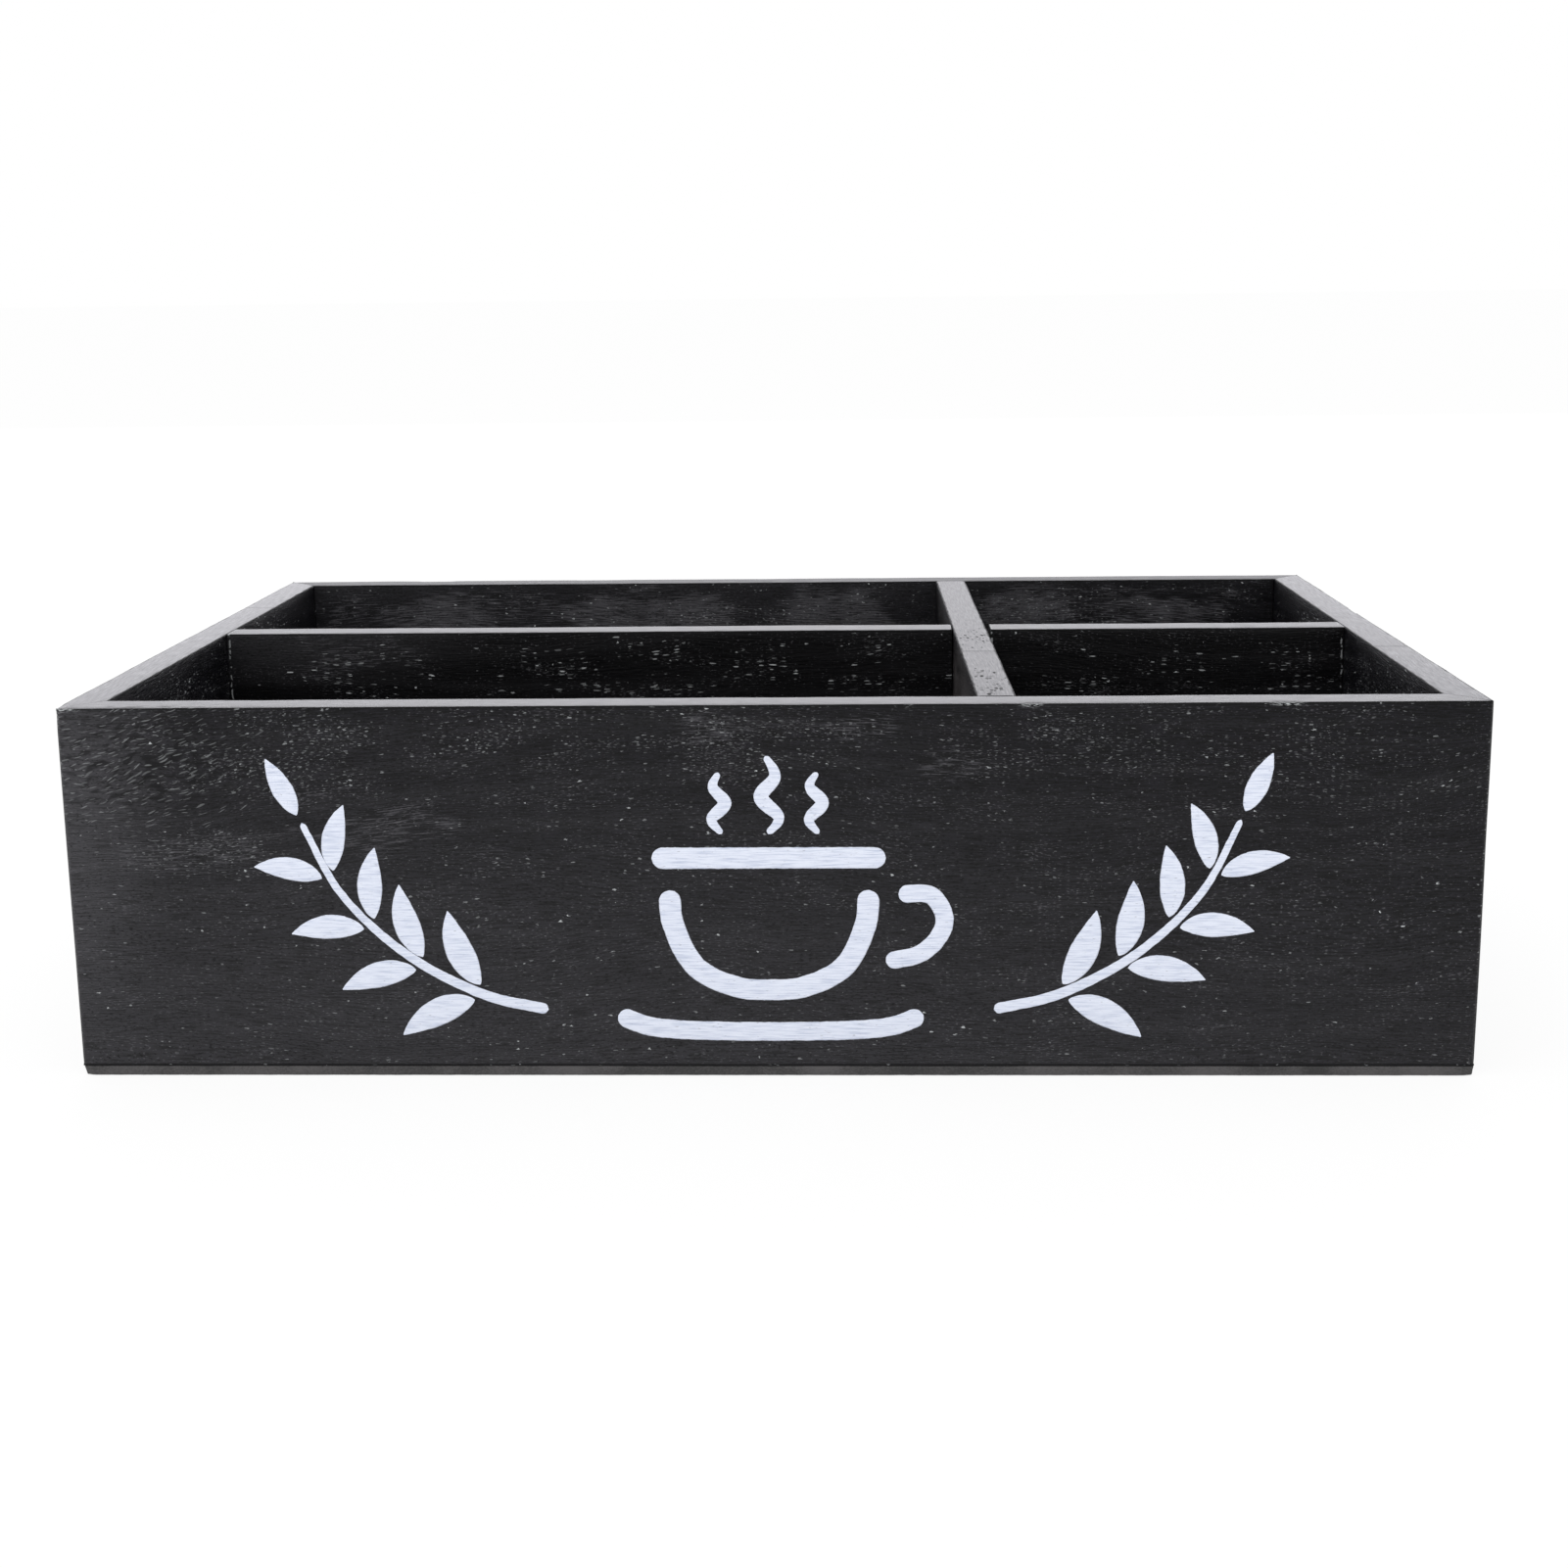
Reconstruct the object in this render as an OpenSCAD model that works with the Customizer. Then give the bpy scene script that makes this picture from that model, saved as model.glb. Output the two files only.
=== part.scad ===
// Countertop organizer box: four mitred wall boards on a thin base panel,
// parted into four compartments by two boards halved into each other.
// Front faces -Y, right is +X, and the origin is the middle of the underside.

/* [Box] */
// Outer width, left to right
box_w = 340; // [300:1:400]
// Outer depth, front to back
box_d = 215; // [180:1:260]
// Height of the wall boards above the base panel
wall_h = 90; // [70:1:120]

/* [Boards] */
// Thickness of the four wall boards
wall_t = 10; // [8:0.5:14]
// Thickness of the two divider boards
divider_t = 10; // [6:0.5:14]
// Thickness of the base panel
base_t = 2.5; // [2:0.5:5]

/* [Dividers] */
// Middle of the cross divider, right of the middle of the box
cross_x = 54; // [-60:1:60]
// Middle of the long divider, behind the middle of the box
long_y = 4; // [-30:1:30]
// Depth of the long divider's slot, down from its top edge
slot_depth = 45; // [30:1:55]
// Spare width of that slot, all of it on the right of the cross divider
slot_spare = 1; // [0.2:0.1:1.5]
// Play on each side of the long divider in the cross divider's notch
notch_play = 0.2; // [0.1:0.1:0.5]
// Play between the floor of the slot and the roof of the notch
lap_play = 0.4; // [0.1:0.1:1]

/* [Softened edges] */
// Radius of the outer edge of the rim
rim_r = 1; // [0.4:0.1:2]
// Radius of the rim's inner edge and of the dividers' top edges
inner_r = 0.6; // [0.3:0.1:1.5]
// Radius of the four upright corners
corner_r = 1.5; // [0.5:0.1:3]
// Radius of the base panel's lower edge
base_r = 0.5; // [0.2:0.1:1]
// Radius of the mouths of the slot and the notch
mouth_r = 0.8; // [0.3:0.1:2]

/* [Brads and staples] */
// Width of the flat wire that brads and staples are made of
wire_w = 1.25; // [1:0.05:1.6]
// Thickness of that wire
wire_t = 1; // [0.8:0.05:1.4]
// Length of a chisel point
point_l = 1.4; // [0.8:0.1:2]
// Width of a brad's head
head_w = 2; // [1.8:0.05:2.4]
// Height of a brad's head
head_t = 0.6; // [0.4:0.05:1]
// Outer width of a staple's crown
crown_w = 5.7; // [5:0.1:7]
// Depth to which a brad's head is punched below the surface
punch_depth = 0.4; // [0.1:0.1:0.8]
// Depth to which a staple's crown is driven below the surface
crown_depth = 0.2; // [0.1:0.05:0.4]
// Length of the brads in the mitred corners
corner_brad_l = 20; // [15:1:30]
// Length of the brads in the ends of the dividers
divider_brad_l = 25; // [18:1:32]
// Length of the staples in the base panel
staple_l = 13; // [10:1:15]
// Brads at each corner
corner_brads_n = 3; // [2:1:4]
// Distance of a corner's end brads from the top and bottom of its walls
corner_brad_inset = 18; // [16:1:24]
// Distance of the divider brads from the top and bottom of the dividers
divider_brad_inset = 24; // [20:1:28]
// Staples under each of the front and back walls
long_staples_n = 5; // [3:1:7]
// Staples under each side wall
short_staples_n = 3; // [2:1:5]
// Distance of a row's end staples from the corner of the box
staple_inset = 38; // [34:1:50]

/* [Hidden] */
$fn = 48;
// Overshoot of a cutting solid past the face that it opens
cut = 1;
rim_z = base_t + wall_h;
inner_w = box_w - 2 * wall_t;
inner_d = box_d - 2 * wall_t;
slot_floor_z = rim_z - slot_depth;
notch_roof_z = slot_floor_z + lap_play;
slot_left_x = cross_x - divider_t / 2;
slot_right_x = cross_x + divider_t / 2 + slot_spare;
notch_half = divider_t / 2 + notch_play;

// Distance from the outer face to the middle of a wall board, from above
wall_mid_x = (box_w - wall_t) / 2;
wall_mid_y = (box_d - wall_t) / 2;

paint_black = [0.05, 0.05, 0.055];
panel_black = [0.08, 0.075, 0.075];
fastener_steel = [0.62, 0.62, 0.64];

// The n places from a to b, both ends included
function spread(a, b, n) = [for (i = [0:n - 1]) a + (b - a) * i / (n - 1)];

// Heights of the brads above the walls' lower edge
corner_brad_z = spread(corner_brad_inset, wall_h - corner_brad_inset, corner_brads_n);
divider_brad_z = [divider_brad_inset, wall_h - divider_brad_inset];

// Places of the staples along each wall and along each divider
long_staple_x = spread(staple_inset - box_w / 2, box_w / 2 - staple_inset, long_staples_n);
short_staple_y = spread(staple_inset - box_d / 2, box_d / 2 - staple_inset, short_staples_n);
left_bay = inner_w / 2 + slot_left_x;
right_bay = inner_w / 2 - slot_right_x;
divider_staple_x = [
    left_bay / 4 - inner_w / 2, left_bay * 3 / 4 - inner_w / 2, (inner_w - right_bay) / 2
];
divider_staple_y = [
    (long_y - notch_half - inner_d / 2) / 2, (long_y + notch_half + inner_d / 2) / 2
];

// The waste outside a rounded edge whose corner is at the origin
module edge_waste(r) {
    difference() {
        translate([-cut, -cut]) square(r + cut);
        translate([r, r]) circle(r);
        translate([r, r]) square(r);
    }
}

// Section of an upright board: thickness along X, height along Y, eased at the top
module board_section(t, outer_r, inner_r) {
    difference() {
        square([t, wall_h]);
        translate([0, wall_h]) mirror([0, 1]) edge_waste(outer_r);
        translate([t, wall_h]) rotate(180) edge_waste(inner_r);
    }
}

// Outline from above of a board mitred at both ends, its upright corners rounded
module mitred_outline(l) {
    difference() {
        polygon([[-l / 2, 0], [l / 2, 0], [l / 2 - wall_t, wall_t], [wall_t - l / 2, wall_t]]);
        for (end = [0, 1]) mirror([end, 0]) translate([-l / 2, 0]) edge_waste(corner_r);
    }
}

// Wall board along X: outer face at y = 0, lower edge at z = 0
module mitred_board(l) {
    intersection() {
        translate([-l / 2, 0, 0]) rotate([90, 0, 90])
            linear_extrude(l) board_section(wall_t, rim_r, inner_r);
        linear_extrude(wall_h) mitred_outline(l);
    }
}

// Divider board along X: its middle at y = 0, lower edge at z = 0
module divider_board(l) {
    translate([-l / 2, -divider_t / 2, 0]) rotate([90, 0, 90])
        linear_extrude(l) board_section(divider_t, inner_r, inner_r);
}

// Each puts its children, made along X with the outside at y = 0, on one side of the box
module at_front() translate([0, -box_d / 2, base_t]) children();
module at_back() translate([0, box_d / 2, base_t]) rotate(180) children();
module at_left() translate([-box_w / 2, 0, base_t]) rotate(-90) children();
module at_right() translate([box_w / 2, 0, base_t]) rotate(90) children();

// Side view of a brad, the top of its head at y = 0 and its point at y = l
module brad_outline(l) {
    translate([-head_w / 2, 0]) square([head_w, head_t]);
    polygon([
        [-wire_w / 2, 0], [wire_w / 2, 0], [wire_w / 2, l - point_l],
        [0, l], [-wire_w / 2, l - point_l]
    ]);
}

// Side view of a staple, the top of its crown at y = 0 and its points at y = l
module staple_outline(l) {
    translate([-crown_w / 2, 0]) square([crown_w, wire_t]);
    for (side = [0, 1]) mirror([side, 0])
        translate([crown_w / 2 - wire_t, 0])
            polygon([[0, 0], [wire_t, 0], [wire_t, l - point_l], [wire_t / 2, l], [0, l - point_l]]);
}

// Brad driven along +Y into a face at y = 0
module brad(l) {
    translate([0, punch_depth, -wire_t / 2]) linear_extrude(wire_t) brad_outline(l);
}

// The hole that a driven brad leaves, open to the face that it went in by
module brad_hole(l) {
    brad(l);
    translate([-head_w / 2, -cut, -wire_t / 2]) cube([head_w, cut + punch_depth, wire_t]);
}

// Staple driven along +Z into a face at z = 0, its crown along X
module staple(l) {
    translate([0, wire_w / 2, crown_depth]) rotate([90, 0, 0])
        linear_extrude(wire_w) staple_outline(l);
}

// The hole that a driven staple leaves, open to the face that it went in by
module staple_hole(l) {
    staple(l);
    translate([-crown_w / 2, -wire_w / 2, -cut]) cube([crown_w, wire_w, cut + crown_depth]);
}

// Each puts a copy of its child at every place where a fastener of its set is driven
module corner_places() {
    for (end = [-1, 1], z = corner_brad_z)
        translate([end * wall_mid_y, 0, z]) children();
}

module divider_places(along) {
    for (z = divider_brad_z)
        translate([along, 0, z]) children();
}

module base_wall_places() {
    for (side = [-1, 1]) {
        for (x = long_staple_x)
            translate([x, side * wall_mid_y, 0]) children();
        for (y = short_staple_y)
            translate([side * wall_mid_x, y, 0]) rotate(90) children();
    }
}

module base_divider_places() {
    for (x = divider_staple_x)
        translate([x, long_y, 0]) children();
    for (y = divider_staple_y)
        translate([cross_x, y, 0]) rotate(90) children();
}

module left_corner_holes() at_left() corner_places() brad_hole(corner_brad_l);
module right_corner_holes() at_right() corner_places() brad_hole(corner_brad_l);
module left_divider_holes() at_left() divider_places(-long_y) brad_hole(divider_brad_l);
module right_divider_holes() at_right() divider_places(long_y) brad_hole(divider_brad_l);
module back_divider_holes() at_back() divider_places(-cross_x) brad_hole(divider_brad_l);

// Outline of the base panel, rounded at its upright corners like the walls
module base_outline() {
    difference() {
        square([box_w, box_d], center = true);
        for (sx = [0, 1], sy = [0, 1])
            mirror([sx, 0]) mirror([0, sy])
                translate([-box_w / 2, -box_d / 2]) edge_waste(corner_r);
    }
}

// Section of the base panel across a width, eased along its lower edges
module base_section(w) {
    difference() {
        translate([-w / 2, 0]) square([w, base_t]);
        for (side = [0, 1]) mirror([side, 0]) translate([-w / 2, 0]) edge_waste(base_r);
    }
}

// Side view of the slot that opens upwards in the long divider
module slot_outline() {
    translate([slot_left_x, slot_floor_z])
        square([slot_right_x - slot_left_x, slot_depth + cut]);
    translate([slot_right_x, rim_z]) mirror([0, 1]) edge_waste(mouth_r);
}

// Side view of the notch that opens downwards in the cross divider
module notch_outline() {
    translate([long_y - notch_half, base_t - cut])
        square([2 * notch_half, notch_roof_z - base_t + cut]);
    translate([long_y + notch_half, base_t]) edge_waste(mouth_r);
    translate([long_y - notch_half, base_t]) mirror([1, 0]) edge_waste(mouth_r);
}

module front_wall() {
    color(paint_black) difference() {
        at_front() mitred_board(box_w);
        left_corner_holes();
        right_corner_holes();
        base_wall_places() staple_hole(staple_l);
    }
}

module back_wall() {
    color(paint_black) difference() {
        at_back() mitred_board(box_w);
        left_corner_holes();
        right_corner_holes();
        back_divider_holes();
        base_wall_places() staple_hole(staple_l);
    }
}

module left_wall() {
    color(paint_black) difference() {
        at_left() mitred_board(box_d);
        left_corner_holes();
        left_divider_holes();
        base_wall_places() staple_hole(staple_l);
    }
}

module right_wall() {
    color(paint_black) difference() {
        at_right() mitred_board(box_d);
        right_corner_holes();
        right_divider_holes();
        base_wall_places() staple_hole(staple_l);
    }
}

module base_panel() {
    color(panel_black) difference() {
        intersection() {
            linear_extrude(base_t) base_outline();
            translate([0, box_d / 2, 0]) rotate([90, 0, 0])
                linear_extrude(box_d) base_section(box_w);
            translate([-box_w / 2, 0, 0]) rotate([90, 0, 90])
                linear_extrude(box_w) base_section(box_d);
        }
        base_wall_places() staple_hole(staple_l);
        base_divider_places() staple_hole(staple_l);
    }
}

module long_divider() {
    color(paint_black) difference() {
        translate([0, long_y, base_t]) divider_board(inner_w);
        translate([0, long_y + divider_t, 0]) rotate([90, 0, 0])
            linear_extrude(2 * divider_t) slot_outline();
        left_divider_holes();
        right_divider_holes();
        base_divider_places() staple_hole(staple_l);
    }
}

module cross_divider() {
    color(paint_black) difference() {
        translate([cross_x, 0, base_t]) rotate(90) divider_board(inner_d);
        translate([cross_x - divider_t, 0, 0]) rotate([90, 0, 90])
            linear_extrude(2 * divider_t) notch_outline();
        back_divider_holes();
        base_divider_places() staple_hole(staple_l);
    }
}

module left_corner_brads()
    color(fastener_steel) at_left() corner_places() brad(corner_brad_l);

module right_corner_brads()
    color(fastener_steel) at_right() corner_places() brad(corner_brad_l);

module left_divider_brads()
    color(fastener_steel) at_left() divider_places(-long_y) brad(divider_brad_l);

module right_divider_brads()
    color(fastener_steel) at_right() divider_places(long_y) brad(divider_brad_l);

module back_divider_brads()
    color(fastener_steel) at_back() divider_places(-cross_x) brad(divider_brad_l);

module base_wall_staples()
    color(fastener_steel) base_wall_places() staple(staple_l);

module base_divider_staples()
    color(fastener_steel) base_divider_places() staple(staple_l);

front_wall();
back_wall();
left_wall();
right_wall();
base_panel();
long_divider();
cross_divider();
left_corner_brads();
right_corner_brads();
left_divider_brads();
right_divider_brads();
back_divider_brads();
base_wall_staples();
base_divider_staples();
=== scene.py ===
"""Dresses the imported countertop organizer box: worn black boards, fibreboard base, stencilled ornament."""
import itertools
import logging
import math
from dataclasses import dataclass, field
from enum import Enum

import bmesh
import bpy
import numpy as np
from mathutils import Matrix, Vector


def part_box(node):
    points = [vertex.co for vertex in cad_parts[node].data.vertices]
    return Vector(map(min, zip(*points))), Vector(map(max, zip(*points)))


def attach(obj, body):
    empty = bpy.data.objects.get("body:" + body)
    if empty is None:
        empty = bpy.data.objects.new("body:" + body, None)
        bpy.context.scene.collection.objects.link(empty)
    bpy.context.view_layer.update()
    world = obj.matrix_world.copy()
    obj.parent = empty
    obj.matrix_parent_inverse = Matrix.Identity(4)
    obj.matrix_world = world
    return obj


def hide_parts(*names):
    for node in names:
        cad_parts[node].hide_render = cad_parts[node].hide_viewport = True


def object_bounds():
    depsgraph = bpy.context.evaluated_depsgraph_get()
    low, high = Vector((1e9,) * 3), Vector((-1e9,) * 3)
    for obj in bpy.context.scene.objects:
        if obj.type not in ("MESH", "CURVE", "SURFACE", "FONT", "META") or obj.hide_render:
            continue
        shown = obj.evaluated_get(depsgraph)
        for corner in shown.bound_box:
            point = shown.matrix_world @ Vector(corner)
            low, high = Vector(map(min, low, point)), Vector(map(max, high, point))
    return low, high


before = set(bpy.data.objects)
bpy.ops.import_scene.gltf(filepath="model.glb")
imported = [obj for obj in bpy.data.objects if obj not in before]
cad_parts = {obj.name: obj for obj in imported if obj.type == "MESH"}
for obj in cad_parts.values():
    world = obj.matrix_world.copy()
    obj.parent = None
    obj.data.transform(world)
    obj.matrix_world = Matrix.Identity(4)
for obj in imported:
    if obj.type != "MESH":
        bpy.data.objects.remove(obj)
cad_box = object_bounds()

logger = logging.getLogger("organizer")

# Metres in a millimetre: sizes below are in millimetres unless their name says otherwise
MM = 0.001
# Faces that meet at a larger angle than this keep a sharp edge between them
SHARP_ANGLE = math.radians(60.0)
BODY = "root"

# Names of the mesh layers that the finishes read
GRAIN_MAP = "grain"
ARRIS_LAYER = "arris"
CHIP_LAYER = "chip"
# Name of the layer in which the stencil's lines carry half of the paint's width
HALF_WIDTH = "half_width"

# Shifts that read one noise in separate places, so that two patterns made of it don't coincide
FINE_CHIPS = 900.0
COARSE_CHIPS = 400.0
FINE_GRAIN = 350.0
SLOW_FUZZ = 300.0
SOFT_ARRIS = 150.0

Colour = tuple[float, float, float]


def smooth(value: np.ndarray, low: float, high: float) -> np.ndarray:
    """Eased step from 0 at low to 1 at high."""
    share = np.clip((value - low) / (high - low), 0.0, 1.0)
    return share * share * (3.0 - 2.0 * share)


class LatticeNoise:
    """Smooth seeded noise, from about -1 to 1, with one feature to a unit of length."""

    def __init__(self, seed: int) -> None:
        """Draws the lattice's values from a seed."""
        draw = np.random.default_rng(seed)
        self.order = draw.permutation(256)
        self.values = draw.uniform(-1.0, 1.0, 256)

    def corner(self, cell: np.ndarray) -> np.ndarray:
        """Returns the value at each lattice corner."""
        mixed = self.order[cell[..., 0] & 255] + cell[..., 1]
        mixed = self.order[mixed & 255] + cell[..., 2]
        return self.values[self.order[mixed & 255]]

    def at(self, points: np.ndarray, size: float | tuple[float, float, float]) -> np.ndarray:
        """Samples the noise.

        Args:
            points: places, the last axis holding x, y and z.
            size: length of one feature, or one length for each axis.

        Returns:
            One value for each place.
        """
        scaled = points / np.array(size)
        cell = np.floor(scaled).astype(int)
        part = scaled - cell
        part = part * part * (3.0 - 2.0 * part)
        total = np.zeros(points.shape[:-1])
        for offset in itertools.product((0, 1), repeat=3):
            share = np.prod(np.where(np.array(offset) == 1, part, 1.0 - part), axis=-1)
            total += share * self.corner(cell + np.array(offset))
        return total


@dataclass(frozen=True)
class WearSpot:
    """A knock that took more of the edge than its surroundings lost."""

    centre: tuple[float, float, float]
    reach: float
    depth: float

    def loss(self, points: np.ndarray) -> np.ndarray:
        """Returns the depth lost at each point, in millimetres."""
        away = np.linalg.norm(points - np.array(self.centre), axis=-1)
        return self.depth * (1.0 - smooth(away, 0.25 * self.reach, self.reach))


@dataclass
class Relief:
    """How the boards depart from flat: slow waviness, softened arrises and chips."""

    planed: float = 0.09
    wave_depth: float = 0.1
    wave_length: tuple[float, float, float] = (60.0, 60.0, 30.0)
    softening: float = 0.16
    softening_length: float = 14.0
    chip_depth: float = 1.1
    chip_threshold: float = 0.84
    chip_length: float = 2.6
    coarse_length: float = 10.4
    chip_parts: tuple[float, float] = (0.65, 0.55)
    arris_reach: float = 1.1
    spots: tuple[WearSpot, ...] = ()
    noise: LatticeNoise = field(default_factory=lambda: LatticeNoise(41))

    def wave(self, points: np.ndarray) -> np.ndarray:
        """Returns the slow loss of flatness at each point, in millimetres."""
        return self.planed + self.wave_depth * (0.5 + 0.5 * self.noise.at(points, self.wave_length))

    def chips(self, points: np.ndarray, arris: np.ndarray) -> np.ndarray:
        """Returns the depth of the chips along the arrises.

        Args:
            points: places, in millimetres.
            arris: distance of each place from the nearest exposed arris.

        Returns:
            Depth at each place, in millimetres.
        """
        fine = self.noise.at(points + FINE_CHIPS, self.chip_length)
        coarse = self.noise.at(points + COARSE_CHIPS, self.coarse_length)
        fine_part, coarse_part = self.chip_parts
        sharp = np.clip(fine_part * fine + coarse_part * coarse - self.chip_threshold, 0.0, None)
        near = np.exp(-((arris / self.arris_reach) ** 2))
        loss = self.chip_depth * sharp * near
        ragged = 0.55 + 0.45 * fine
        for spot in self.spots:
            loss = loss + spot.loss(points) * ragged * near
        return loss

    def soften(self, points: np.ndarray, arris: np.ndarray) -> np.ndarray:
        """Returns the slow loss along the arrises, in millimetres."""
        slow = 0.6 + 0.6 * self.noise.at(points + SOFT_ARRIS, self.softening_length)
        return self.softening * slow * np.exp(-((arris / self.arris_reach) ** 2))


@dataclass(frozen=True)
class Outline:
    """A closed outline, with the running length and the distance from the nearest corner at each point."""

    points: np.ndarray
    run: np.ndarray
    corner: np.ndarray
    girth: float


def graded(length: float, steps: int) -> np.ndarray:
    """Returns places from 0 up to length, close together at both ends."""
    return 0.5 * length * (1.0 - np.cos(np.linspace(0.0, math.pi, steps + 1)[:-1]))


def rounded_rectangle(
    width: float, height: float, radii: tuple[float, ...], steps: tuple[int, int], arc_steps: int
) -> Outline:
    """Makes a rectangle with rounded corners, going up its left side first.

    Args:
        width: size along the first axis, which starts at 0.
        height: size along the second axis, which starts at 0.
        radii: radius of the lower left, upper left, upper right and lower right corner.
        steps: number of steps on the upright sides and on the level ones.
        arc_steps: number of steps on each rounded corner.

    Returns:
        The outline.
    """
    corners = [(0.0, 0.0), (0.0, height), (width, height), (width, 0.0)]
    sides = [(0.0, 1.0), (1.0, 0.0), (0.0, -1.0), (-1.0, 0.0)]
    points: list[np.ndarray] = []
    middles: list[float] = []
    run = 0.0
    runs: list[float] = []
    for index, (corner, side) in enumerate(zip(corners, sides)):
        radius, after = radii[index], radii[(index + 1) % 4]
        start = np.array(corner) + radius * np.array(side)
        length = (height if side[0] == 0.0 else width) - radius - after
        middles.append(run - 0.25 * math.pi * radius)
        for place in graded(length, steps[index % 2]):
            points.append(start + place * np.array(side))
            runs.append(run + place)
        run += length
        turn = sides[(index + 1) % 4]
        centre = start + length * np.array(side) + after * np.array(turn)
        for step in range(arc_steps):
            angle = 0.5 * math.pi * step / arc_steps
            out = -math.cos(angle) * np.array(turn) + math.sin(angle) * np.array(side)
            points.append(centre + after * out)
            runs.append(run + after * angle)
        run += 0.5 * math.pi * after
    steps_run = np.array(runs)
    gaps = np.abs(steps_run[:, None] - np.array(middles)[None, :])
    corner_gap = np.minimum(gaps, run - gaps).min(axis=1)
    return Outline(np.array(points), steps_run, corner_gap, run)


def grid_faces(rows: int, columns: int) -> np.ndarray:
    """Returns the corner numbers of the quads of a grid that closes on itself along its columns."""
    row, column = np.meshgrid(np.arange(rows - 1), np.arange(columns), indexing="ij")
    after = (column + 1) % columns
    here, above = row * columns, (row + 1) * columns
    return np.stack([here + column, here + after, above + after, above + column], axis=-1).reshape(-1, 4)


def level_turn(degrees: float) -> np.ndarray:
    """Returns the rotation about the upright axis by an angle, as a 3 by 3 array."""
    cosine, sine = math.cos(math.radians(degrees)), math.sin(math.radians(degrees))
    return np.array([[cosine, -sine, 0.0], [sine, cosine, 0.0], [0.0, 0.0, 1.0]])


@dataclass
class Skin:
    """A closed grid of points with the values that the finishes read at each of them."""

    points: np.ndarray
    grain: np.ndarray
    girth: float
    arris: np.ndarray
    chip: np.ndarray

    def normals(self) -> np.ndarray:
        """Returns the unit normal at each point, on either side of the surface."""
        along = np.gradient(self.points, axis=0)
        around = np.roll(self.points, -1, axis=1) - np.roll(self.points, 1, axis=1)
        cross = np.cross(along, around)
        return cross / np.maximum(np.linalg.norm(cross, axis=-1, keepdims=True), 1e-12)

    def build(self, name: str) -> bpy.types.Object:
        """Makes the mesh object, its ends closed, its faces pointing outwards and its layers filled."""
        rows, columns = self.points.shape[:2]
        quads = grid_faces(rows, columns)
        first = list(range(columns))
        last = [(rows - 1) * columns + number for number in first]
        faces = quads.tolist() + [first[::-1], last]
        mesh = bpy.data.meshes.new(name)
        mesh.from_pydata((self.points.reshape(-1, 3) * MM).tolist(), [], faces)
        uv_layer = mesh.uv_layers.new(name=GRAIN_MAP)
        corners = np.zeros(len(mesh.loops), np.int32)
        mesh.loops.foreach_get("vertex_index", corners)
        grain = self.grain.reshape(-1, 2)[corners]
        closing = (quads[:, 1] < quads[:, 0]).repeat(4) & (quads.ravel() % columns == 0)
        grain[: closing.size][closing, 1] += self.girth
        uv_layer.data.foreach_set("uv", (grain * MM).astype(np.float32).ravel())
        for layer, values in ((ARRIS_LAYER, self.arris), (CHIP_LAYER, self.chip)):
            stored = mesh.attributes.new(layer, "FLOAT", "POINT")
            stored.data.foreach_set("value", values.astype(np.float32).ravel())
        smooth_faces = np.ones(len(faces), bool)
        smooth_faces[-2:] = False
        mesh.polygons.foreach_set("use_smooth", smooth_faces)
        face_outwards(mesh)
        return link(bpy.data.objects.new(name, mesh))


def face_outwards(mesh: bpy.types.Mesh) -> None:
    """Turns a closed mesh the right way round if its volume counts as negative."""
    shaped = bmesh.new()
    shaped.from_mesh(mesh)
    if shaped.calc_volume(signed=True) < 0.0:
        bmesh.ops.reverse_faces(shaped, faces=shaped.faces)
        shaped.to_mesh(mesh)
    shaped.free()


def link(obj: bpy.types.Object) -> bpy.types.Object:
    """Puts an object in the scene and returns it."""
    bpy.context.scene.collection.objects.link(obj)
    return obj


def applied(obj: bpy.types.Object) -> bpy.types.Object:
    """Makes an object's modifiers part of its mesh, removes them and returns the object."""
    bpy.context.view_layer.update()
    graph = bpy.context.evaluated_depsgraph_get()
    shown = obj.evaluated_get(graph)
    mesh = bpy.data.meshes.new_from_object(shown, preserve_all_data_layers=True, depsgraph=graph)
    old = obj.data
    obj.modifiers.clear()
    obj.data = mesh
    bpy.data.meshes.remove(old)
    return obj


def block(name: str, low: tuple[float, float, float], high: tuple[float, float, float]) -> bpy.types.Object:
    """Makes a plain block, in millimetres, to cut other pieces with."""
    mesh = bpy.data.meshes.new(name)
    shaped = bmesh.new()
    bmesh.ops.create_cube(shaped, size=1.0)
    middle = (Vector(low) + Vector(high)) / 2
    sizes = Vector(high) - Vector(low)
    matrix = Matrix.Translation(middle * MM) @ Matrix.Diagonal((*(sizes * MM), 1.0))
    bmesh.ops.transform(shaped, verts=shaped.verts, matrix=matrix)
    shaped.to_mesh(mesh)
    shaped.free()
    return link(bpy.data.objects.new(name, mesh))


def cut_away(piece: bpy.types.Object, cutters: list[bpy.types.Object]) -> None:
    """Cuts blocks out of a piece and deletes them."""
    for cutter in cutters:
        modifier = piece.modifiers.new("cut", "BOOLEAN")
        modifier.operation = "DIFFERENCE"
        modifier.solver = "MANIFOLD"
        modifier.object = cutter
    applied(piece).data.set_sharp_from_angle(angle=SHARP_ANGLE)
    for cutter in cutters:
        bpy.data.objects.remove(cutter)


def finish_piece(piece: bpy.types.Object, material: bpy.types.Material) -> None:
    """Gives a piece its one material and logs it."""
    mesh = piece.data
    mesh.materials.clear()
    mesh.materials.append(material)
    mesh.polygons.foreach_set("material_index", np.zeros(len(mesh.polygons), np.int32))
    logger.info("%s: %d faces", piece.name, len(mesh.polygons))


def corners_mm(low: Vector, high: Vector) -> tuple[np.ndarray, np.ndarray]:
    """Turns a box in metres into its two corners in millimetres."""
    return np.array(low) / MM, np.array(high) / MM


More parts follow.
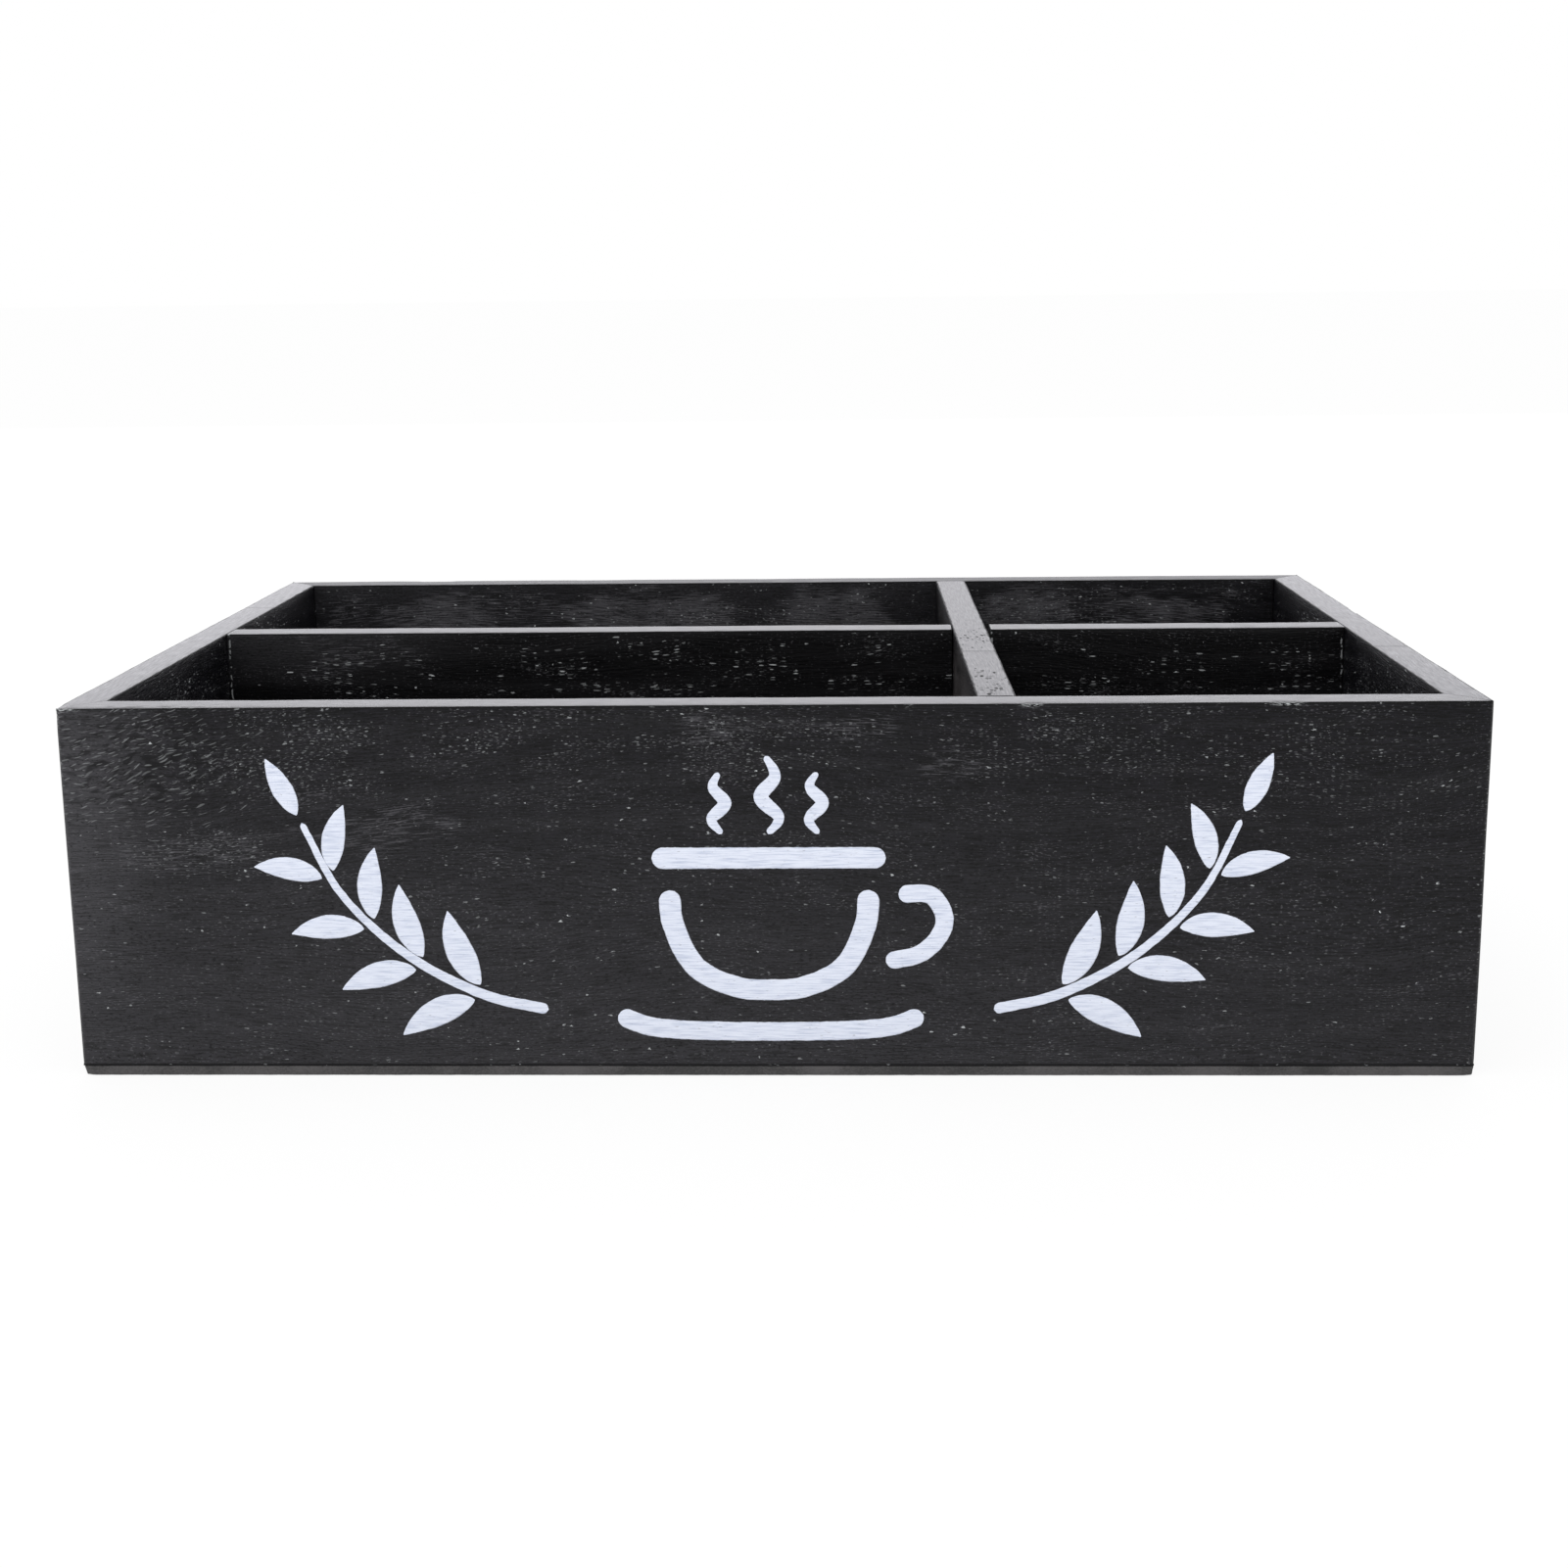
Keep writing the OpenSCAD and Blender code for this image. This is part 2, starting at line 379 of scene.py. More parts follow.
def node_box(node: str) -> tuple[np.ndarray, np.ndarray]:
    """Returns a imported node's lowest and highest corner, in millimetres."""
    return corners_mm(*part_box(node))


@dataclass
class BoxPlan:
    """The sizes and places of the boards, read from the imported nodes."""

    low: np.ndarray
    high: np.ndarray
    wall: float
    base: float
    cross_low: float
    cross_high: float
    long_low: float
    long_high: float

    @classmethod
    def measured(cls) -> "BoxPlan":
        """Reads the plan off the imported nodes."""
        low, high = corners_mm(*cad_box)
        left_low, left_high = node_box("left_wall")
        cross_low, cross_high = node_box("cross_divider")
        long_low, long_high = node_box("long_divider")
        return cls(
            low=low,
            high=high,
            wall=float(left_high[0] - left_low[0]),
            base=float(left_low[2]),
            cross_low=float(cross_low[0]),
            cross_high=float(cross_high[0]),
            long_low=float(long_low[1]),
            long_high=float(long_high[1]),
        )

    @property
    def width(self) -> float:
        """Outer width."""
        return float(self.high[0] - self.low[0])

    @property
    def depth(self) -> float:
        """Outer depth."""
        return float(self.high[1] - self.low[1])

    @property
    def rim(self) -> float:
        """Height of the rim."""
        return float(self.high[2])

    @property
    def board_height(self) -> float:
        """Height of the boards above the base panel."""
        return self.rim - self.base


class Side(Enum):
    """A side of the box, with the turn that brings a board made along X to it."""

    FRONT = 0
    RIGHT = 90
    BACK = 180
    LEFT = -90

    def place(self, plan: BoxPlan) -> tuple[np.ndarray, np.ndarray]:
        """Returns the rotation and the shift, in millimetres, that put a board on this side."""
        turn = level_turn(self.value)
        reach = plan.depth / 2 if self in (Side.FRONT, Side.BACK) else plan.width / 2
        shift = turn @ np.array([0.0, -reach, 0.0]) + np.array([0.0, 0.0, plan.base])
        return turn, shift


@dataclass(frozen=True)
class Swirl:
    """A place where the grain climbs: its middle along and up the board, its reach and the climb."""

    along: float
    up: float
    reach: tuple[float, float]
    climb: float

    def lift(self, along: np.ndarray, up: np.ndarray) -> np.ndarray:
        """Returns how far the lines of the grain are moved at each place."""
        near = np.exp(-(((up - self.up) / self.reach[1]) ** 2))
        return -self.climb * np.tanh((along - self.along) / self.reach[0]) * near


@dataclass(frozen=True)
class GrainFlow:
    """How far the grain wanders up and down a board on its way along it, in millimetres."""

    swirls: tuple[Swirl, ...] = ()
    rise: float = 3.2
    length: tuple[float, float, float] = (70.0, 24.0, 1.0)
    fine_rise: float = 0.5
    fine_length: tuple[float, float, float] = (14.0, 9.0, 1.0)
    seam_fade: float = 6.0
    noise: LatticeNoise = field(default_factory=lambda: LatticeNoise(58))

    def lift(self, along: np.ndarray, run: np.ndarray, girth: float, offset: float) -> np.ndarray:
        """Returns the wander, nothing at the seam where the outline closes.

        Args:
            along: place along the board.
            run: place round the board's outline.
            girth: length of the outline.
            offset: picks another part of the pattern.

        Returns:
            The wander at each place.
        """
        places = np.stack([along + offset, run, np.zeros(along.shape)], axis=-1)
        total = self.rise * self.noise.at(places, self.length)
        total += self.fine_rise * self.noise.at(places + FINE_GRAIN, self.fine_length)
        for swirl in self.swirls:
            total += swirl.lift(along, run)
        return total * smooth(np.minimum(run, girth - run), 0.0, self.seam_fade)


@dataclass
class Board:
    """An upright board made along X: its section is swept from end to end and then worn."""

    node: str
    length: float
    height: float
    thickness: float
    relief: Relief
    turn: np.ndarray
    shift: np.ndarray
    flow: GrainFlow = field(default_factory=GrainFlow)
    outer_radius: float = 0.5
    inner_radius: float = 0.42
    foot_radius: float = 0.45
    deepest_loss: float = 0.4
    corner_radius: float = 1.4
    mitred: bool = False
    end_fade: float = 4.0
    groove: float = 0.03
    groove_width: float = 0.5
    groove_reach: float = 20.0
    full_chip: float = 0.25
    grain_offset: float = 0.0
    offset_round: float = 0.37
    end_stations: tuple[float, ...] = (0.0, 0.12, 0.3, 0.55, 0.85, 1.2, 1.6, 2.1, 2.7)
    plain_start: float = 3.0
    step: float = 0.8
    side_steps: tuple[int, int] = (26, 9)
    arc_steps: int = 5
    tuck: float = 0.15

    def stations(self) -> np.ndarray:
        """Returns places along the board from -1 to 1, closer together at its ends."""
        half = self.length / 2
        count = int((half - self.plain_start) / self.step)
        from_end = np.concatenate([np.array(self.end_stations), np.linspace(self.plain_start, half, count)])
        left = from_end / half - 1.0
        return np.concatenate([left, -left[:-1][::-1]])

    def to_box(self, local: np.ndarray) -> np.ndarray:
        """Moves points from the board's own frame to the box's."""
        return local @ self.turn.T + self.shift

    def skin(self) -> Skin:
        """Sweeps the section along the board and wears it."""
        radii = (self.foot_radius, self.outer_radius, self.inner_radius, self.foot_radius)
        section = rounded_rectangle(self.thickness, self.height, radii, self.side_steps, self.arc_steps)
        share = self.stations()
        across = section.points[:, 0]
        end = np.full(across.shape, self.length / 2 + self.tuck)
        if self.mitred:
            tip = self.corner_radius * (1.0 - math.sqrt(0.5))
            end = self.length / 2 - np.maximum(across, tip)
        x = share[:, None] * end[None, :]
        depth = np.broadcast_to(across, x.shape).copy()
        corner = np.broadcast_to(section.corner, x.shape).copy()
        if self.mitred:
            past = np.clip(np.abs(x) - (self.length / 2 - self.corner_radius), 0.0, self.corner_radius)
            round_off = self.corner_radius - np.sqrt(self.corner_radius**2 - past**2)
            outside = 1.0 - smooth(depth, 0.0, 2.0 * self.corner_radius)
            end_gap = self.length / 2 - np.abs(x) + self.end_fade * (1.0 - outside)
            corner = np.where(outside > 0.0, np.minimum(corner, end_gap), corner)
            depth = np.maximum(depth, round_off)
        height = np.broadcast_to(section.points[:, 1], x.shape).copy()
        local = np.stack([x, depth, height], axis=-1)
        run = np.broadcast_to(section.run, x.shape)
        lift = self.flow.lift(x, run, section.girth, self.grain_offset)
        offset = self.grain_offset
        grain = np.stack([x + offset, run + self.offset_round * offset + lift], axis=-1)
        made = Skin(self.to_box(local), grain, section.girth, np.maximum(corner, 0.0), np.zeros(x.shape))
        self.wear(made, share)
        return made

    def wear(self, made: Skin, share: np.ndarray) -> None:
        """Takes the waviness, the softened arrises and the chips off a skin.

        Args:
            made: the skin, changed in place.
            share: place of each station along the board, from -1 to 1.
        """
        normal = made.normals()
        section_middle = made.points.mean(axis=1, keepdims=True)
        outward = np.sum(normal * (made.points - section_middle), axis=-1, keepdims=True)
        normal = np.where(outward.mean() < 0.0, -normal, normal)
        chips = self.relief.chips(made.points, made.arris)
        loss = self.relief.wave(made.points) + self.relief.soften(made.points, made.arris) + chips
        from_end = (1.0 - np.abs(share)) * self.length / 2
        groove = (self.groove * (1.0 - smooth(from_end, 0.0, self.groove_width)))[:, None]
        loss = loss + groove * (made.arris < self.groove_reach)
        loss = np.minimum(loss, self.deepest_loss) * (1.0 - np.clip(-normal[..., 2], 0.0, 1.0))
        made.points -= normal * loss[..., None]
        made.chip = np.clip(chips / self.full_chip, 0.0, 1.0)

    def build(self, cutters: list[bpy.types.Object]) -> bpy.types.Object:
        """Makes the board, with the cutters taken out of it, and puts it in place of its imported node."""
        piece = self.skin().build(f"{self.node}_board")
        if cutters:
            cut_away(piece, cutters)
        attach(piece, BODY)
        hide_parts(self.node)
        return piece


class Graph:
    """Adds nodes to a tree and links them in few words."""

    def __init__(self, tree: bpy.types.NodeTree) -> None:
        """Starts on the node tree that grows."""
        self.tree = tree

    def feed(self, socket: bpy.types.NodeSocket, value: object) -> None:
        """Links a socket's source, or sets the socket's own value."""
        if isinstance(value, bpy.types.NodeSocket):
            self.tree.links.new(value, socket)
        else:
            socket.default_value = value

    def add(self, kind: str, inputs: dict | None = None, **settings: object) -> bpy.types.Node:
        """Adds a node.

        Args:
            kind: Blender's name of the node type.
            inputs: value or source for each input, by name or number.
            settings: the node's own settings.

        Returns:
            The node.
        """
        node = self.tree.nodes.new(kind)
        for name, value in settings.items():
            setattr(node, name, value)
        for key, value in (inputs or {}).items():
            self.feed(node.inputs[key], value)
        return node

    def math(self, operation: str, *values: object) -> bpy.types.NodeSocket:
        """Adds a Math node and returns its result."""
        return self.add("ShaderNodeMath", dict(enumerate(values)), operation=operation).outputs[0]

    def vector_math(self, operation: str, *values: object) -> bpy.types.NodeSocket:
        """Adds a Vector Math node and returns its vector, or its number for a length."""
        node = self.add("ShaderNodeVectorMath", dict(enumerate(values)), operation=operation)
        return node.outputs["Value" if operation == "LENGTH" else "Vector"]

    def scaled(self, vector: object, factor: object) -> bpy.types.NodeSocket:
        """Adds a Vector Math node that makes a vector longer or shorter, and returns its vector."""
        return self.add("ShaderNodeVectorMath", {0: vector, "Scale": factor}, operation="SCALE").outputs[0]

    def combined(self, **parts: object) -> bpy.types.NodeSocket:
        """Adds a vector made of its X, Y and Z parts."""
        return self.add("ShaderNodeCombineXYZ", parts).outputs[0]

    def step(
        self, value: object, low: float, high: float, to_low: float = 0.0, to_high: float = 1.0
    ) -> bpy.types.NodeSocket:
        """Adds an eased step of a value.

        Args:
            value: what is stepped.
            low: value at which the step starts.
            high: value at which the step ends.
            to_low: result before the step.
            to_high: result after the step.

        Returns:
            The result's socket.
        """
        inputs = {"Value": value, "From Min": low, "From Max": high, "To Min": to_low, "To Max": to_high}
        return self.add("ShaderNodeMapRange", inputs, interpolation_type="SMOOTHSTEP").outputs["Result"]

    def noise(
        self, vector: object, size: tuple[float, float, float], detail: float = 2.0
    ) -> bpy.types.NodeSocket:
        """Adds noise whose features have the given size.

        Args:
            vector: where the noise is read, in metres.
            size: length of a feature along each axis, in millimetres.
            detail: octaves of finer noise.

        Returns:
            The noise from 0 to 1.
        """
        stretched = self.vector_math("MULTIPLY", vector, tuple(1.0 / (MM * length) for length in size))
        inputs = {"Vector": stretched, "Scale": 1.0, "Detail": detail}
        return self.add("ShaderNodeTexNoise", inputs).outputs["Fac"]

    def streaks(
        self, flow: object, size: tuple[float, float], detail: float = 2.0, output: str = "Fac"
    ) -> bpy.types.NodeSocket:
        """Adds flat noise on a vector that counts in millimetres.

        Args:
            flow: where the noise is read.
            size: length of a feature along and across the grain.
            detail: octaves of finer noise.
            output: name of the output that is wanted.

        Returns:
            The noise, from 0 to 1.
        """
        stretched = self.vector_math("MULTIPLY", flow, (1.0 / size[0], 1.0 / size[1], 1.0))
        inputs = {"Vector": stretched, "Scale": 1.0, "Detail": detail}
        return self.add("ShaderNodeTexNoise", inputs, noise_dimensions="2D").outputs[output]

    def group(self, tree: bpy.types.NodeTree, **inputs: object) -> bpy.types.bpy_prop_collection:
        """Places a node group, its inputs named with underscores for spaces, and returns its outputs."""
        node = self.add("ShaderNodeGroup", node_tree=tree)
        for name, value in inputs.items():
            self.feed(node.inputs[name.replace("_", " ")], value)
        return node.outputs

    def strongest(self, values: list) -> bpy.types.NodeSocket | float:
        """Returns the largest of several masks, or 0 if there are none."""
        result: bpy.types.NodeSocket | float = 0.0
        for number, value in enumerate(values):
            result = self.math("MAXIMUM", result, value) if number else value
        return result

    def mix_colour(self, factor: object, first: object, second: object) -> bpy.types.NodeSocket:
        """Blends two colours.

        Args:
            factor: share of the second colour.
            first: a colour or its source.
            second: a colour or its source.

        Returns:
            The blended colour.
        """
        node = self.add("ShaderNodeMix", {0: factor}, data_type="RGBA")
        self.feed(node.inputs[6], first)
        self.feed(node.inputs[7], second)
        return node.outputs[2]


SOCKETS = {"vector": "NodeSocketVector", "float": "NodeSocketFloat", "int": "NodeSocketInt",
           "geometry": "NodeSocketGeometry", "material": "NodeSocketMaterial"}


def new_group(
    name: str, kind: str, inputs: dict[str, tuple[str, object]], outputs: dict[str, str]
) -> tuple[Graph, dict[str, bpy.types.NodeSocket], bpy.types.Node]:
    """Starts a node group.

    Args:
        name: the group's name.
        kind: ShaderNodeTree or GeometryNodeTree.
        inputs: type and default of each input.
        outputs: type of each output.

    Returns:
        The group's graph, the sockets of its inputs by name, and its output node.
    """
    tree = bpy.data.node_groups.new(name, kind)
    for label, (socket_type, default) in inputs.items():
        socket = tree.interface.new_socket(label, in_out="INPUT", socket_type=SOCKETS[socket_type])
        if default is not None:
            socket.default_value = default
    for label, socket_type in outputs.items():
        tree.interface.new_socket(label, in_out="OUTPUT", socket_type=SOCKETS[socket_type])
    graph = Graph(tree)
    sources = graph.add("NodeGroupInput").outputs
    return graph, {socket.name: socket for socket in sources if socket.name}, graph.add("NodeGroupOutput")


@dataclass(frozen=True)
class SpeckSize:
    """The room that each speck has along and across the grain, and the share of it that it fills."""

    long: float
    high: float
    share: float


SPECKS = SpeckSize(1.9, 1.5, 0.12)
RIDGES = SpeckSize(4.6, 0.6, 0.19)
# Size of the painted glints: pale marks that stand for light caught on the paint's ripples
PAINTED_GLINTS = SpeckSize(1.8, 0.48, 0.19)
FLECKS = SpeckSize(3.4, 0.46, 0.22)
PITS = SpeckSize(2.6, 1.0, 0.36)


class Effects:
    """The surface effects that several finishes share, each built once as a node group."""

    def __init__(self) -> None:
        """Builds the groups."""
        self.grain = self.build_grain()
        self.specks = self.build_specks()

    @staticmethod
    def build_grain() -> bpy.types.NodeTree:
        """Open-pored grain: fibre streaks, short dashes, clouds and broad bands, with the paint's relief."""
        graph, given, result = new_group(
            "open_grain", "ShaderNodeTree", {"Grain": ("vector", None)},
            {"Flow": "vector", "Ragged": "vector", "Fibre": "float", "Dash": "float", "Cloud": "float",
             "Broad": "float", "Height": "float"},
        )
        flow = graph.vector_math("MULTIPLY", given["Grain"], (1.0 / MM,) * 3)
        fibre = graph.streaks(flow, (6.0, 0.36), detail=3.0)
        dash = graph.streaks(flow, (1.1, 0.28), detail=1.0)
        drift = graph.combined(X=graph.math("MULTIPLY", dash, 1.3), Y=graph.math("MULTIPLY", fibre, 0.7))
        made = {
            "Flow": flow,
            "Ragged": graph.vector_math("ADD", flow, drift),
            "Fibre": fibre,
            "Dash": dash,
            "Cloud": graph.streaks(flow, (20.0, 6.0), detail=3.0),
            "Broad": graph.streaks(flow, (90.0, 5.0), detail=2.0),
            "Height": graph.math("MULTIPLY_ADD", dash, -0.3, fibre),
        }
        for name, value in made.items():
            graph.feed(result.inputs[name], value)
        return graph.tree

    @staticmethod
    def build_specks() -> bpy.types.NodeTree:
        """Single specks, a share of them missing, each of its own size and strength."""
        graph, given, result = new_group(
            "scattered_specks", "ShaderNodeTree",
            {"Flow": ("vector", None), "Long": ("float", 1.9), "High": ("float", 1.5),
             "Size": ("float", 0.12), "Cover": ("float", 0.2)},
            {"Specks": "float"},
        )
        cell = graph.combined(X=given["Long"], Y=given["High"], Z=1.0)
        inputs = {"Vector": graph.vector_math("DIVIDE", given["Flow"], cell), "Scale": 1.0}
        spot = graph.add("ShaderNodeTexVoronoi", inputs, feature="F1", voronoi_dimensions="2D")
        chance = graph.add("ShaderNodeSeparateColor", {0: spot.outputs["Color"]}).outputs
        radius = graph.math("MULTIPLY", given["Size"], graph.math("MULTIPLY_ADD", chance[1], 1.0, 0.4))
        round_spot = graph.step(graph.math("DIVIDE", spot.outputs["Distance"], radius), 1.15, 0.7)
        there = graph.math("LESS_THAN", chance[0], given["Cover"])
        strength = graph.math("MULTIPLY_ADD", graph.math("MULTIPLY", chance[2], chance[2]), 0.85, 0.15)
        specks = graph.math("MULTIPLY", graph.math("MULTIPLY", round_spot, there), strength)
        graph.feed(result.inputs["Specks"], specks)
        return graph.tree

    def scatter(self, graph: Graph, flow: object, size: SpeckSize, cover: object) -> bpy.types.NodeSocket:
        """Strews specks of one size over a surface.

        Args:
            graph: the material's graph.
            flow: where the specks are laid, in millimetres.
            size: their size and the room that each has.
            cover: share of the specks that are there.

        Returns:
            The mask of the specks.
        """
        room = {"Long": size.long, "High": size.high, "Size": size.share}
        return graph.group(self.specks, Flow=flow, Cover=cover, **room)["Specks"]

    @staticmethod
    def bend(graph: Graph, flow: object) -> bpy.types.NodeSocket:
        """Adds a slow drift that bends what is drawn on the grain map into arcs."""
        colour = graph.streaks(flow, (8.0, 5.0), detail=1.0, output="Color")
        return graph.vector_math("MULTIPLY", colour, (0.0, 2.3, 0.0))

    @staticmethod
    def turned(graph: Graph, flow: object, slant: float) -> bpy.types.NodeSocket:
        """Turns the grain map by an angle, so that what is drawn on it slants."""
        settings = {"Vector": flow, "Axis": (0.0, 0.0, 1.0), "Angle": slant}
        return graph.add("ShaderNodeVectorRotate", settings, rotation_type="AXIS_ANGLE").outputs[0]


def new_material(name: str) -> tuple[bpy.types.Material, Graph, bpy.types.Node]:
    """Starts a material and returns it with its graph and its surface shader."""
    material = bpy.data.materials.new(name)
    material.use_nodes = True
    return material, Graph(material.node_tree), material.node_tree.nodes["Principled BSDF"]


def finish_surface(
    graph: Graph, shader: bpy.types.Node, colour: object, rough: object, relief: tuple[object, float, object]
) -> None:
    """Feeds a surface shader.

    Args:
        graph: the material's graph.
        shader: its surface shader.
        colour: the base colour.
        rough: the roughness.
        relief: height of the surface, its depth in millimetres and how strongly it shows.
    """
    height, depth, strength = relief
    bump = graph.add("ShaderNodeBump", {"Height": height, "Distance": depth * MM, "Strength": strength})
    for name, value in (("Base Color", colour), ("Roughness", rough), ("Normal", bump.outputs["Normal"])):
        graph.feed(shader.inputs[name], value)


@dataclass(frozen=True)
class PatchSpot:
    """A round or oval area of a face, in the box's frame, in which an effect is strong."""

    centre: tuple[float, float, float]
    reach: tuple[float, float, float]
    strength: float = 1.0

    def mask(self, graph: Graph, place: object) -> bpy.types.NodeSocket:
        """Adds the spot's mask, which is its strength in its middle and 0 outside it."""
        middle = tuple(MM * value for value in self.centre)
        stretch = tuple(1.0 / (MM * value) for value in self.reach)
        away = graph.vector_math("MULTIPLY", graph.vector_math("SUBTRACT", place, middle), stretch)
        return graph.step(graph.vector_math("LENGTH", away), 1.0, 0.2, 0.0, self.strength)


@dataclass(frozen=True)
class CrossLine:
    """A fine line across a board: the axis it crosses, its place on it, its strength and half its width.

    A lean of 1 or -1 turns it into a diagonal. It ends at its low height.
    """

    axis: int
    place: float
    strength: float = 0.7
    half_width: float = 0.22
    wobble: float = 0.5
    low: float = 0.0
    lean: float = 0.0

    def mask(self, graph: Graph, place: object) -> bpy.types.NodeSocket:
        """Adds the line's mask."""
        parts = graph.add("ShaderNodeSeparateXYZ", {0: place}).outputs
        drift = graph.math("SUBTRACT", graph.noise(place, (2.5, 2.5, 2.5), detail=3.0), 0.5)
        at_line = graph.math("SUBTRACT", parts[self.axis], self.place * MM)
        if self.lean:
            at_line = graph.math("MULTIPLY_ADD", parts[1 - self.axis], self.lean, at_line)
        away = graph.math("ABSOLUTE", graph.math("MULTIPLY_ADD", drift, self.wobble * MM, at_line))
        line = graph.step(away, 1.4 * self.half_width * MM, 0.6 * self.half_width * MM)
        above = graph.step(parts[2], self.low * MM, (self.low + 0.5) * MM) if self.low else 1.0
        return graph.math("MULTIPLY", graph.math("MULTIPLY", line, self.strength), above)


@dataclass(frozen=True)
class PaintedWood:
    """Satin black paint on open-pored boards, rubbed thin in places, worn along the arrises and darkened there
    as painted shade.

    The spots say where each effect shows: the rippled figure with its painted highlight and painted shade,
    the rubbed streaks, the ragged haze, the paler places, the small painted glints, the bare flecks and
    the dark pits. On most boards the paler places are thinner paint; on the front they are painted light,
    brighter towards its left end. Lines across the board are scored, or dotted with bare wood.
    """

    name: str
    paint: Colour = (0.0032, 0.003, 0.0043)
    # Pale colour of rubbed paint, also used on the front for painted light
    rubbed: Colour = (0.098, 0.096, 0.105)
    # Colour of bare wood, also used for painted highlights: the glints and the ridge lines of the figure
    bare: Colour = (0.5, 0.52, 0.53)
    # Where the rippled figure shows, with a painted highlight on its ridge lines and painted shade between
    # them
    figured: tuple[PatchSpot, ...] = ()
    streaked: tuple[PatchSpot, ...] = ()
    hazed: tuple[PatchSpot, ...] = ()
    # Paler places: thinner paint on most boards, painted light on the front
    paler: tuple[PatchSpot, ...] = ()
    # Where painted glints show: pale marks that stand for light caught on the paint's ripples
    painted_glint_spots: tuple[PatchSpot, ...] = ()
    flecked: tuple[PatchSpot, ...] = ()
    pitted: tuple[PatchSpot, ...] = ()
    scored: tuple[CrossLine, ...] = ()
    dotted: tuple[CrossLine, ...] = ()
    band_share: float = 0.05
    haze_share: float = 0.5
    streak_share: float = 0.5
    painted_glint_cover: float = 0.0
    slant: float = -0.27
    grain_share: float = 1.0
    speck_cover: float = 0.12
    roughness: float = 0.34
    rim: float = 92.5

    def build(self, effects: Effects) -> bpy.types.Material:
        """Makes the material from the shared effects."""
        material, graph, shader = new_material(self.name)
        coat = Coat(graph, effects, self)
        coat.age()
        for wanted, effect in (
            (self.streaked, coat.streak), (self.hazed, coat.haze), (self.figured, coat.ripple),
            (self.painted_glint_spots, coat.painted_glint), (self.pitted, coat.pit), (self.scored, coat.score),
            (self.speck_cover, coat.speck), (self.flecked, coat.fleck), (self.dotted, coat.dot),
        ):
            if wanted:
                effect()
        fibre, grain_share = coat.grain["Fibre"], self.grain_share
        base = graph.step(fibre, 0.34, 0.68, 0.5 - 0.5 * grain_share, 0.5 + 0.5 * grain_share)
        colour = graph.mix_colour(base, self.shade(0.3), self.shade(2.1))
        for share, strength in coat.pale:
            share = graph.math("MULTIPLY", share, strength)
            colour = graph.mix_colour(share, colour, (*self.rubbed, 1.0))
        sunk = graph.step(fibre, 0.5, 0.34, 0.0, 0.4 * grain_share)
        colour = graph.mix_colour(sunk, colour, self.shade(0.3))
        # The dark masks hold painted shade as well as dark marks, and the bare-wood colour paints highlights
        # as well as bare wood
        dark_marks_and_shade, bare_wood_and_highlights = graph.strongest(coat.dark), graph.strongest(coat.shown)
        colour = graph.mix_colour(dark_marks_and_shade, colour, self.shade(0.2))
        colour = graph.mix_colour(bare_wood_and_highlights, colour, (*self.bare, 1.0))
        rough = graph.math("MULTIPLY_ADD", fibre, 0.2, self.roughness - 0.1)
        rough = graph.math("MULTIPLY_ADD", graph.math("MAXIMUM", dark_marks_and_shade, bare_wood_and_highlights), 0.4, rough)
        relief = (coat.height, 0.09, graph.math("MULTIPLY_ADD", coat.below_rim, 0.6, 0.4))
        finish_surface(graph, shader, colour, rough, relief)
        shader.inputs["IOR"].default_value = 1.26
        return material

    def shade(self, factor: float) -> tuple[float, float, float, float]:
        """Returns the paint made lighter or darker, with its alpha."""
        return (*(factor * value for value in self.paint), 1.0)


